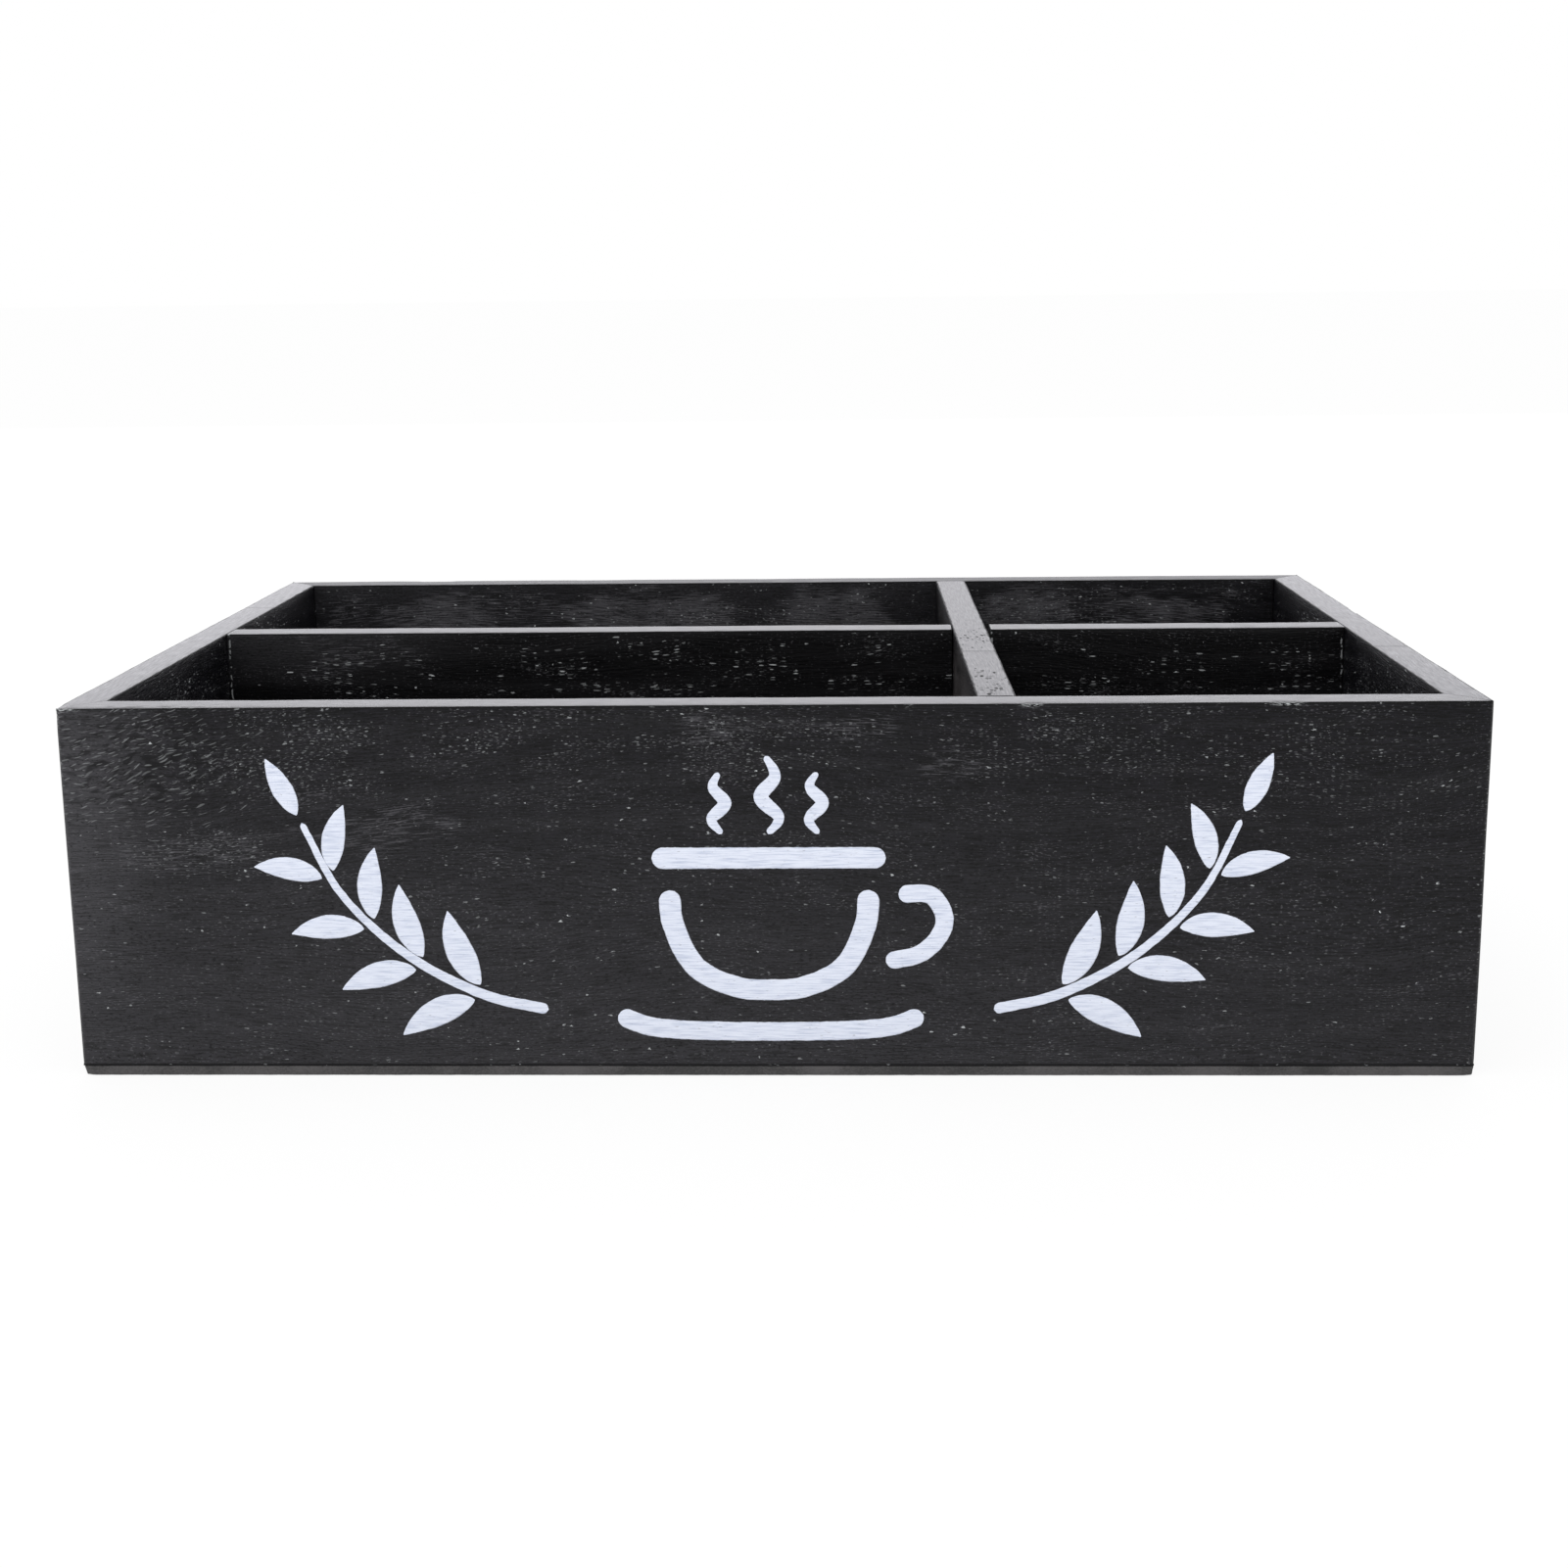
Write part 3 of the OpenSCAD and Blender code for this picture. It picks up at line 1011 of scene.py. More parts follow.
class Coat:
    """One board's coat of paint as it grows: its height, and masks of what is pale, dark and bare, some of
    them painted light and shade.

    Each method adds one effect. A pale mask comes with the share of the pale colour it brings, which is rubbed
    paint on most boards and painted light on the front.
    """

    def __init__(self, graph: Graph, effects: Effects, finish: PaintedWood) -> None:
        """Reads the board's place, wear and grain.

        Args:
            graph: the material's graph.
            effects: the shared effects.
            finish: the finish that says where each effect shows.
        """
        self.graph, self.effects, self.finish = graph, effects, finish
        self.place = graph.add("ShaderNodeTexCoord").outputs["Object"]
        self.arris, self.chip = (
            graph.add("ShaderNodeAttribute", attribute_name=layer).outputs["Fac"]
            for layer in (ARRIS_LAYER, CHIP_LAYER)
        )
        grain_map = graph.add("ShaderNodeUVMap", uv_map=GRAIN_MAP).outputs[0]
        self.grain = graph.group(effects.grain, Grain=grain_map)
        self.clouded = graph.math("SUBTRACT", self.grain["Cloud"], 0.5)
        self.height = self.grain["Height"]
        up = graph.add("ShaderNodeSeparateXYZ", {0: self.place}).outputs[2]
        self.below_rim = graph.step(up, (finish.rim - 0.1) * MM, (finish.rim - 0.45) * MM)
        # Pale masks hold rubbed paint and painted light, dark masks hold dark marks and painted shade, shown
        # masks hold bare wood and painted highlights
        self.pale: list[tuple[bpy.types.NodeSocket, float]] = []
        self.dark: list[bpy.types.NodeSocket] = []
        self.shown: list[bpy.types.NodeSocket] = []

    def area(self, spots: tuple[PatchSpot | CrossLine, ...]) -> bpy.types.NodeSocket | float:
        """Joins the masks of several spots or lines."""
        return self.graph.strongest([spot.mask(self.graph, self.place) for spot in spots])

    def age(self) -> None:
        """Adds what every board has: pores, pale bands, painted shade along the arrises, chips and paler
        places.
        """
        graph, dash = self.graph, self.grain["Dash"]
        crowd = graph.math("MULTIPLY_ADD", self.clouded, 0.35, dash)
        crowd = graph.math("MULTIPLY_ADD", graph.math("SUBTRACT", crowd, 0.5), self.below_rim, 0.5)
        bands = graph.step(self.grain["Broad"], 0.4, 0.75)
        self.pale += [(bands, self.finish.band_share), (graph.step(crowd, 0.68, 0.76), 0.5)]
        self.pale += [(spot.mask(graph, self.place), 1.0) for spot in self.finish.paler]
        # Painted shade: a ragged dark band along each arris, where the rounded edge turns away from the light
        frayed = graph.math("MULTIPLY_ADD", self.grain["Fibre"], -1.0, 1.5)
        worn = graph.math("MULTIPLY", self.arris, frayed)
        self.dark += [
            graph.math("MULTIPLY", graph.step(crowd, 0.36, 0.28), 0.6),
            graph.math("MULTIPLY", graph.step(worn, 0.75, 0.25), 0.8),
        ]
        chipped = graph.math("MULTIPLY", self.chip, graph.step(self.arris, 1.3, 0.3))
        self.shown.append(graph.math("MULTIPLY", chipped, graph.step(dash, 0.5, 0.6)))

    def streak(self) -> None:
        """Adds rubbed streaks along the grain."""
        graph = self.graph
        room = graph.math("MULTIPLY_ADD", self.clouded, 2.2, self.area(self.finish.streaked))
        streaks = graph.step(self.grain["Fibre"], 0.53, 0.66)
        streaks = graph.math("MULTIPLY", graph.step(room, 0.35, 0.95), streaks)
        self.pale.append((streaks, self.finish.streak_share))

    def haze(self) -> None:
        """Adds the ragged haze of paint that is rubbed thin."""
        graph, fibre = self.graph, self.grain["Fibre"]
        centred = graph.math("SUBTRACT", fibre, 0.5)
        frayed = graph.math("MULTIPLY_ADD", centred, 1.2, self.area(self.finish.hazed))
        haze = graph.step(graph.math("MULTIPLY_ADD", self.clouded, 1.2, frayed), 0.2, 0.9)
        haze = graph.math("MULTIPLY", haze, graph.step(fibre, 0.35, 0.62, 0.4, 1.0))
        self.pale.append((haze, self.finish.haze_share))

    def ripple(self) -> None:
        """Adds rippled figure: slanting ridge lines raised in the relief, with a painted highlight on each and
        painted shade in the dips between them.
        """
        graph, effects, flow = self.graph, self.effects, self.grain["Flow"]
        within = self.area(self.finish.figured)
        slanting = effects.turned(graph, flow, self.finish.slant)
        bent = graph.vector_math("ADD", slanting, effects.bend(graph, flow))
        ridge_relief_and_highlight = graph.math("SQRT", effects.scatter(graph, bent, RIDGES, within))
        painted_ridge_shade = graph.step(graph.streaks(bent, (4.0, 1.4), detail=1.0), 0.5, 0.66)
        # Painted highlight on the ridge lines and painted shade in the dips between them, as if lit from above
        self.shown.append(graph.math("MULTIPLY", ridge_relief_and_highlight, 0.27))
        self.dark.append(graph.math("MULTIPLY", graph.math("MULTIPLY", painted_ridge_shade, within), 0.6))
        self.height = graph.math("ADD", ridge_relief_and_highlight, self.height)

    def painted_glint(self) -> None:
        """Adds small painted glints, pale marks for light caught on the paint's ripples, none of them on the
        rim.
        """
        graph = self.graph
        cover = graph.math("MAXIMUM", self.area(self.finish.painted_glint_spots), self.finish.painted_glint_cover)
        cover = graph.math("MULTIPLY", cover, graph.step(self.grain["Cloud"], 0.25, 0.6))
        cover = graph.math("MULTIPLY", cover, self.below_rim)
        painted_glints = self.effects.scatter(graph, self.grain["Ragged"], PAINTED_GLINTS, cover)
        # The painted glints take the bare-wood colour as a painted highlight
        self.shown.append(graph.math("MULTIPLY", painted_glints, 0.42))

    def pit(self) -> None:
        """Adds dark pits."""
        cover = self.graph.math("MULTIPLY", self.area(self.finish.pitted), 0.6)
        self.sink(self.effects.scatter(self.graph, self.grain["Flow"], PITS, cover))

    def score(self) -> None:
        """Adds scored lines."""
        self.sink(self.area(self.finish.scored))

    def sink(self, mask: bpy.types.NodeSocket) -> None:
        """Darkens and lowers the places of a mask."""
        self.dark.append(mask)
        self.height = self.graph.math("SUBTRACT", self.height, mask)

    def speck(self) -> None:
        """Adds pale specks, crowded in places, none of them on the rim."""
        graph = self.graph
        crowded = graph.step(self.grain["Cloud"], 0.35, 0.75)
        cover = graph.math("MULTIPLY", crowded, 2.0 * self.finish.speck_cover)
        cover = graph.math("MULTIPLY", cover, self.below_rim)
        self.shown.append(self.effects.scatter(graph, self.grain["Ragged"], SPECKS, cover))

    def fleck(self) -> None:
        """Adds bare flecks in clusters."""
        graph = self.graph
        clustered = graph.step(self.grain["Cloud"], 0.42, 0.64, 0.04, 0.5)
        cover = graph.math("MULTIPLY", self.area(self.finish.flecked), clustered)
        self.shown.append(self.effects.scatter(graph, self.grain["Ragged"], FLECKS, cover))

    def dot(self) -> None:
        """Adds dotted lines of bare wood."""
        graph = self.graph
        gaps = graph.step(graph.noise(self.place, (1.3, 1.3, 1.3), detail=1.0), 0.48, 0.56)
        self.shown.append(graph.math("MULTIPLY", self.area(self.finish.dotted), gaps))


@dataclass(frozen=True)
class Fibreboard:
    """Thin fibreboard under a dry coat of black paint, its cut edge fuzzy and paler than its faces."""

    name: str = "fibreboard_under_paint"
    paint: Colour = (0.016, 0.0155, 0.016)
    fibre: Colour = (0.1, 0.095, 0.097)

    def build(self) -> bpy.types.Material:
        """Makes the material."""
        material, graph, shader = new_material(self.name)
        place = graph.add("ShaderNodeTexCoord").outputs["Object"]
        edge = graph.add("ShaderNodeAttribute", attribute_name=ARRIS_LAYER).outputs["Fac"]
        fluff = graph.noise(place, (0.5, 0.5, 0.25), detail=4.0)
        cloud = graph.noise(place, (14.0, 14.0, 14.0), detail=3.0)
        fine = graph.noise(place, (1.6, 1.6, 1.6), detail=3.0)
        frayed = graph.step(graph.math("MULTIPLY_ADD", fluff, 0.7, cloud), 0.6, 1.05)
        cover = graph.math("MULTIPLY", graph.step(edge, 1.2, 0.2), frayed)
        thin = graph.step(graph.math("MULTIPLY_ADD", cloud, 0.7, fine), 0.92, 1.2)
        shade = graph.math("MAXIMUM", graph.math("MULTIPLY", cover, 0.8), graph.math("MULTIPLY", thin, 0.35))
        colour = graph.mix_colour(shade, (*self.paint, 1.0), (*self.fibre, 1.0))
        rough = graph.math("MULTIPLY_ADD", shade, 0.3, 0.55)
        finish_surface(graph, shader, colour, rough, (fluff, 0.15, 0.7))
        return material


@dataclass(frozen=True)
class StencilPaint:
    """Pale stencil paint that sinks into the grain and leaves it showing as level streaks."""

    name: str = "pale_stencil_paint"
    paint: Colour = (0.75, 0.79, 0.9)
    streak: Colour = (0.52, 0.57, 0.71)
    gap: Colour = (0.12, 0.12, 0.14)

    def build(self) -> bpy.types.Material:
        """Makes the material."""
        material, graph, shader = new_material(self.name)
        place = graph.add("ShaderNodeTexCoord").outputs["Object"]
        streak = graph.noise(place, (6.0, 6.0, 0.35), detail=4.0)
        fine = graph.noise(place, (0.8, 0.8, 0.12), detail=2.0)
        pore = graph.step(graph.noise(place, (1.3, 1.3, 0.16), detail=1.5), 0.7, 0.78)
        thick, thin, gap = ((*colour, 1.0) for colour in (self.paint, self.streak, self.gap))
        colour = graph.mix_colour(graph.step(streak, 0.42, 0.72), thick, thin)
        colour = graph.mix_colour(graph.math("MULTIPLY", graph.step(fine, 0.5, 0.8), 0.35), colour, thin)
        colour = graph.mix_colour(graph.math("MULTIPLY", pore, 0.7), colour, gap)
        height = graph.math("MULTIPLY_ADD", streak, 0.5, graph.math("MULTIPLY", fine, 0.4))
        relief = (graph.math("SUBTRACT", height, pore), 0.08, 0.7)
        finish_surface(graph, shader, colour, graph.math("MULTIPLY_ADD", streak, 0.2, 0.42), relief)
        return material


@dataclass(frozen=True)
class CoatedSteel:
    """Flat steel wire: bright where it is hidden in the wood, painted over where its head shows."""

    name: str = "painted_wire"
    steel: Colour = (0.56, 0.57, 0.58)
    paint: Colour = (0.014, 0.014, 0.015)

    def build(self, plan: BoxPlan) -> bpy.types.Material:
        """Makes the material for the box whose plan is given."""
        material, graph, shader = new_material(self.name)
        place = graph.add("ShaderNodeTexCoord").outputs["Object"]
        centre = tuple(MM * float(value) for value in (plan.low + plan.high) / 2)
        half = tuple(MM * float(value) for value in (plan.high - plan.low) / 2)
        offset = graph.vector_math("ABSOLUTE", graph.vector_math("SUBTRACT", place, centre))
        gap = graph.vector_math("SUBTRACT", half, offset)
        parts = graph.add("ShaderNodeSeparateXYZ", {0: gap}).outputs
        nearest = graph.math("MINIMUM", parts[0], graph.math("MINIMUM", parts[1], parts[2]))
        scratches = graph.noise(place, (0.6, 0.6, 0.6), detail=4.0)
        covered = graph.math("LESS_THAN", nearest, graph.math("MULTIPLY_ADD", scratches, 0.5 * MM, 0.9 * MM))
        rubbed = graph.math("MULTIPLY", covered, graph.step(scratches, 0.66, 0.56))
        colour = graph.mix_colour(rubbed, (*self.steel, 1.0), (*self.paint, 1.0))
        graph.feed(shader.inputs["Metallic"], graph.math("SUBTRACT", 1.0, rubbed))
        rough = graph.math("MULTIPLY_ADD", scratches, 0.25, 0.25)
        finish_surface(graph, shader, colour, rough, (scratches, 0.03, 0.6))
        return material


def paint_film_group() -> bpy.types.NodeTree:
    """Turns centrelines with a half width at each point into a thin, ragged-edged film of paint."""
    graph, given, result = new_group(
        "paint_film", "GeometryNodeTree",
        {
            "Lines": ("geometry", None), "Half Width": ("float", 0.002), "Film": ("float", 0.00012),
            "Raggedness": ("float", 0.0002), "Seed": ("float", 0.0),
        },
        {"Film": "geometry"},
    )
    level = graph.add("GeometryNodeSetCurveNormal", {"Curve": given["Lines"]}, mode="Z_UP")
    circle = graph.add("GeometryNodeCurvePrimitiveCircle", {"Resolution": 14, "Radius": 1.0}, mode="RADIUS")
    thinnest, widest = 0.00012, 0.003
    flat = graph.combined(X=1.0, Y=graph.math("DIVIDE", given["Film"], widest), Z=1.0)
    profile = graph.add("GeometryNodeTransform", {"Geometry": circle.outputs["Curve"], "Scale": flat})
    tip = graph.math("MAXIMUM", given["Half Width"], thinnest)
    swept = graph.add(
        "GeometryNodeCurveToMesh",
        {"Curve": level.outputs[0], "Profile Curve": profile.outputs[0], "Scale": tip, "Fill Caps": True},
    )
    place = graph.add("GeometryNodeInputPosition").outputs[0]
    shifted = graph.vector_math("ADD", place, graph.combined(Z=given["Seed"]))
    wander = []
    for size, weight in ((2.6, 1.0), (0.8, 0.55)):
        stretched = graph.vector_math("MULTIPLY", shifted, (1.0 / (size * MM),) * 2 + (1.0,))
        noise = graph.add("ShaderNodeTexNoise", {"Vector": stretched, "Scale": 1.0, "Detail": 2.0})
        centred = graph.vector_math("SUBTRACT", noise.outputs["Color"], (0.5,) * 3)
        wander.append(graph.scaled(centred, weight))
    level_drift = graph.vector_math("MULTIPLY", graph.vector_math("ADD", *wander), (2.0, 2.0, 0.0))
    offset = graph.scaled(level_drift, given["Raggedness"])
    moved = graph.add("GeometryNodeSetPosition", {"Geometry": swept.outputs[0], "Offset": offset})
    smooth_shaded = graph.add("GeometryNodeSetShadeSmooth", {"Geometry": moved.outputs[0]})
    graph.feed(result.inputs["Film"], smooth_shaded.outputs[0])
    return graph.tree


def rounded_end(graph: Graph, from_end: object, half: object) -> bpy.types.NodeSocket:
    """Adds the share of its half width that a stroke has at a distance from its end."""
    share = graph.math("MINIMUM", graph.math("DIVIDE", from_end, half), 1.0)
    rest = graph.math("SUBTRACT", 1.0, share)
    left = graph.math("SUBTRACT", 1.0, graph.math("MULTIPLY", rest, rest))
    return graph.math("SQRT", graph.math("MAXIMUM", left, 0.0))


def stored_half(graph: Graph, lines: object, half: object) -> bpy.types.NodeSocket:
    """Adds lines that carry half of the paint's width at each of their points."""
    inputs = {"Geometry": lines, "Name": HALF_WIDTH, "Value": half}
    node = graph.add("GeometryNodeStoreNamedAttribute", inputs, data_type="FLOAT", domain="POINT")
    return node.outputs[0]


def read_half(graph: Graph) -> bpy.types.NodeSocket:
    """Adds half of the paint's width, as the lines carry it."""
    return graph.add("GeometryNodeInputNamedAttribute", {"Name": HALF_WIDTH}, data_type="FLOAT").outputs[0]


def stroke_tree(film: bpy.types.NodeTree) -> bpy.types.NodeTree:
    """Paints strokes with round ends along the edges of a mesh, whose points carry half of their width."""
    graph, given, result = new_group(
        "brush_strokes", "GeometryNodeTree",
        {
            "Geometry": ("geometry", None), "Spacing": ("float", 0.0003), "Film": ("float", 0.00012),
            "Raggedness": ("float", 0.0002), "Seed": ("float", 0.0), "Material": ("material", None),
        },
        {"Geometry": "geometry"},
    )
    lines = graph.add("GeometryNodeMeshToCurve", {"Mesh": given["Geometry"]})
    spacing = {"Curve": lines.outputs[0], "Length": given["Spacing"]}
    spaced = graph.add("GeometryNodeResampleCurve", spacing, mode="LENGTH")
    half = read_half(graph)
    run = graph.add("GeometryNodeSplineParameter").outputs["Length"]
    total = graph.add("GeometryNodeSplineLength").outputs["Length"]
    from_end = graph.math("MINIMUM", run, graph.math("SUBTRACT", total, run))
    half_width = graph.math("MULTIPLY", half, rounded_end(graph, from_end, half))
    coat_lines(graph, given, result, film, spaced.outputs[0], half_width)
    return graph.tree


def coat_lines(
    graph: Graph,
    given: dict[str, bpy.types.NodeSocket],
    result: bpy.types.Node,
    film: bpy.types.NodeTree,
    lines: bpy.types.NodeSocket,
    half_width: bpy.types.NodeSocket,
) -> None:
    """Ends a tree: its lines get their film of paint, become real geometry and take the material.

    Args:
        graph: the tree's graph.
        given: the tree's inputs.
        result: the tree's output node.
        film: the paint film group.
        lines: the centrelines.
        half_width: half the paint's width at each point of them.
    """
    coat = graph.add("GeometryNodeGroup", node_tree=film)
    shared = {name: given[name] for name in ("Film", "Raggedness", "Seed")}
    for name, value in {"Lines": lines, "Half Width": half_width, **shared}.items():
        graph.feed(coat.inputs[name], value)
    real = graph.add("GeometryNodeRealizeInstances", {0: coat.outputs[0]}).outputs[0]
    coated = graph.add("GeometryNodeSetMaterial", {"Geometry": real, "Material": given["Material"]})
    graph.feed(result.inputs["Geometry"], coated.outputs[0])


def sprig_tree(film: bpy.types.NodeTree) -> bpy.types.NodeTree:
    """Paints a stem along the edges of a mesh, with pairs of leaves set along it and one at its tip."""
    graph, given, result = new_group(
        "leafy_sprig", "GeometryNodeTree",
        {
            "Geometry": ("geometry", None), "Stem Half Width": ("float", 0.0014), "Pairs": ("int", 5),
            "Leaf Length": ("float", 0.022), "Leaf Width Share": ("float", 0.17),
            "Leaf Angle": ("float", 0.75), "Film": ("float", 0.00012), "Raggedness": ("float", 0.0002),
            "Seed": ("float", 0.0), "Material": ("material", None),
        },
        {"Geometry": "geometry"},
    )
    stem = graph.add("GeometryNodeMeshToCurve", {"Mesh": given["Geometry"]}).outputs[0]
    count = graph.math("ADD", given["Pairs"], 1.0)
    seats = graph.add("GeometryNodeResampleCurve", {"Curve": stem, "Count": count}, mode="COUNT").outputs[0]
    tangent = graph.add("GeometryNodeInputTangent").outputs[0]
    tangent = graph.add("ShaderNodeSeparateXYZ", {0: tangent}).outputs
    heading = graph.math("ARCTAN2", tangent[1], tangent[0])
    lines = [stem_line(graph, given, stem)]
    for seed, lean in enumerate((1.0, -1.0, 0.0), start=3):
        lines.append(leaf_lines(graph, given, seats, heading, (lean, seed)))
    joined = graph.add("GeometryNodeJoinGeometry")
    for line in lines:
        graph.tree.links.new(line, joined.inputs[0])
    coat_lines(graph, given, result, film, joined.outputs[0], read_half(graph))
    return graph.tree


def stem_line(graph: Graph, given: dict[str, bpy.types.NodeSocket], stem: object) -> bpy.types.NodeSocket:
    """Adds the stem's line, with round ends and thinner towards its tip."""
    spacing, thinning = 0.0005, -0.45
    inputs = {"Curve": stem, "Length": spacing}
    fine = graph.add("GeometryNodeResampleCurve", inputs, mode="LENGTH").outputs[0]
    share = graph.add("GeometryNodeSplineParameter").outputs["Factor"]
    total = graph.add("GeometryNodeSplineLength").outputs["Length"]
    taper = graph.math("MULTIPLY_ADD", share, thinning, 1.0)
    nearest = graph.math("MINIMUM", share, graph.math("SUBTRACT", 1.0, share))
    cap = rounded_end(graph, graph.math("MULTIPLY", nearest, total), given["Stem Half Width"])
    half = graph.math("MULTIPLY", graph.math("MULTIPLY", given["Stem Half Width"], taper), cap)
    return stored_half(graph, fine, half)


def leaf_lines(
    graph: Graph,
    given: dict[str, bpy.types.NodeSocket],
    seats: bpy.types.NodeSocket,
    heading: bpy.types.NodeSocket,
    kind: tuple[float, int],
) -> bpy.types.NodeSocket:
    """Adds the middle lines of some leaves.

    Args:
        graph: the tree's graph.
        given: the tree's inputs.
        seats: the points on the stem that leaves grow from.
        heading: the stem's angle at each of them.
        kind: 1 or -1 for the leaves on one side and 0 for the one at the tip, and a seed.

    Returns:
        The lines, which carry half of each leaf's width.
    """
    lean, seed = kind
    wobble, tip = 0.08, 0.95
    share = graph.add("GeometryNodeSplineParameter").outputs["Factor"]
    if lean:
        chosen = graph.math("GREATER_THAN", graph.add("GeometryNodeInputIndex").outputs[0], 0.5)
        chosen = graph.math("MULTIPLY", chosen, graph.math("LESS_THAN", share, tip))
    else:
        chosen = graph.math("GREATER_THAN", share, tip)
    bow = {
        "Resolution": 40, "Start": (0.13, 0.0, 0.0), "Middle": (0.55, -0.1 * lean, 0.0),
        "End": (1.0, 0.03 * lean, 0.0),
    }
    bend = graph.add("GeometryNodeCurveQuadraticBezier", bow).outputs[0]
    drawn = {2: -wobble, 3: wobble, "Seed": seed}
    swing = graph.add("FunctionNodeRandomValue", drawn, data_type="FLOAT").outputs[1]
    leaning = graph.math("MULTIPLY_ADD", given["Leaf Angle"], lean, heading)
    turn = graph.combined(Z=graph.math("ADD", leaning, swing))
    size = graph.math("MULTIPLY", given["Leaf Length"], graph.math("MULTIPLY_ADD", share, -0.3, 1.1))
    scale = graph.combined(X=size, Y=size, Z=size)
    seated = graph.add(
        "GeometryNodeInstanceOnPoints",
        {"Points": seats, "Selection": chosen, "Instance": bend, "Rotation": turn, "Scale": scale},
    ).outputs[0]
    real = graph.add("GeometryNodeRealizeInstances", {0: seated}).outputs[0]
    along = graph.add("GeometryNodeSplineParameter").outputs["Factor"]
    length = graph.add("GeometryNodeSplineLength").outputs["Length"]
    swell = graph.math("SINE", graph.math("MULTIPLY", graph.math("POWER", along, 0.85), math.pi))
    swell = graph.math("POWER", graph.math("MAXIMUM", swell, 0.0), 0.8)
    half = graph.math("MULTIPLY", graph.math("MULTIPLY", length, given["Leaf Width Share"]), swell)
    return stored_half(graph, real, half)


def curve_points(controls: tuple[tuple[float, float], ...], spacing: float) -> np.ndarray:
    """Runs a smooth line through points, in the plane of a face.

    Args:
        controls: points that the line passes through, in millimetres.
        spacing: distance between the points that come back.

    Returns:
        Points along the line, in millimetres.
    """
    knots = np.array(controls, float)
    if len(knots) == 2:
        return knots
    ends = np.vstack([2 * knots[0] - knots[1], knots, 2 * knots[-1] - knots[-2]])
    pieces = []
    for before, start, end, after in zip(ends, ends[1:], ends[2:], ends[3:]):
        steps = max(int(np.linalg.norm(end - start) / spacing), 2)
        t = np.linspace(0.0, 1.0, steps, endpoint=False)[:, None]
        cubic = 2 * start + (end - before) * t + (2 * before - 5 * start + 4 * end - after) * t**2
        pieces.append(0.5 * (cubic + (3 * start - before - 3 * end + after) * t**3))
    return np.vstack([*pieces, knots[-1:]])


@dataclass(frozen=True)
class Stroke:
    """One stroke: the points it passes through, its width, and the share it loses towards its ends."""

    controls: tuple[tuple[float, float], ...]
    width: float = 5.3
    taper: float = 0.0


def stroke_mesh(name: str, strokes: tuple[Stroke, ...]) -> bpy.types.Object:
    """Makes a mesh of edges along the strokes, which carries half of each stroke's width.

    Args:
        name: the object's name.
        strokes: the strokes.

    Returns:
        The object, with points in the face's plane.
    """
    points: list[tuple[float, float, float]] = []
    edges: list[tuple[int, int]] = []
    halves: list[float] = []
    for stroke in strokes:
        line = curve_points(stroke.controls, 0.5)
        first = len(points)
        points += [(MM * float(x), MM * float(y), 0.0) for x, y in line]
        edges += [(first + number, first + number + 1) for number in range(len(line) - 1)]
        share = np.sin(math.pi * np.linspace(0.0, 1.0, len(line)))
        halves += list(0.5 * MM * stroke.width * (1.0 - stroke.taper * (1.0 - share)))
    mesh = bpy.data.meshes.new(name)
    mesh.from_pydata(points, edges, [])
    mesh.attributes.new(HALF_WIDTH, "FLOAT", "POINT").data.foreach_set("value", halves)
    return link(bpy.data.objects.new(name, mesh))


def grown(obj: bpy.types.Object, tree: bpy.types.NodeTree, inputs: dict[str, object]) -> bpy.types.Object:
    """Runs a node tree on an object and keeps the plain mesh.

    Args:
        obj: the object that the tree starts from.
        tree: the geometry node tree.
        inputs: value of each named input.

    Returns:
        The same object, with the tree's mesh.
    """
    modifier = obj.modifiers.new(tree.name, "NODES")
    modifier.node_group = tree
    sockets = {item.name: item.identifier for item in tree.interface.items_tree if item.in_out == "INPUT"}
    for name, value in inputs.items():
        modifier[sockets[name]] = value
    return applied(obj)


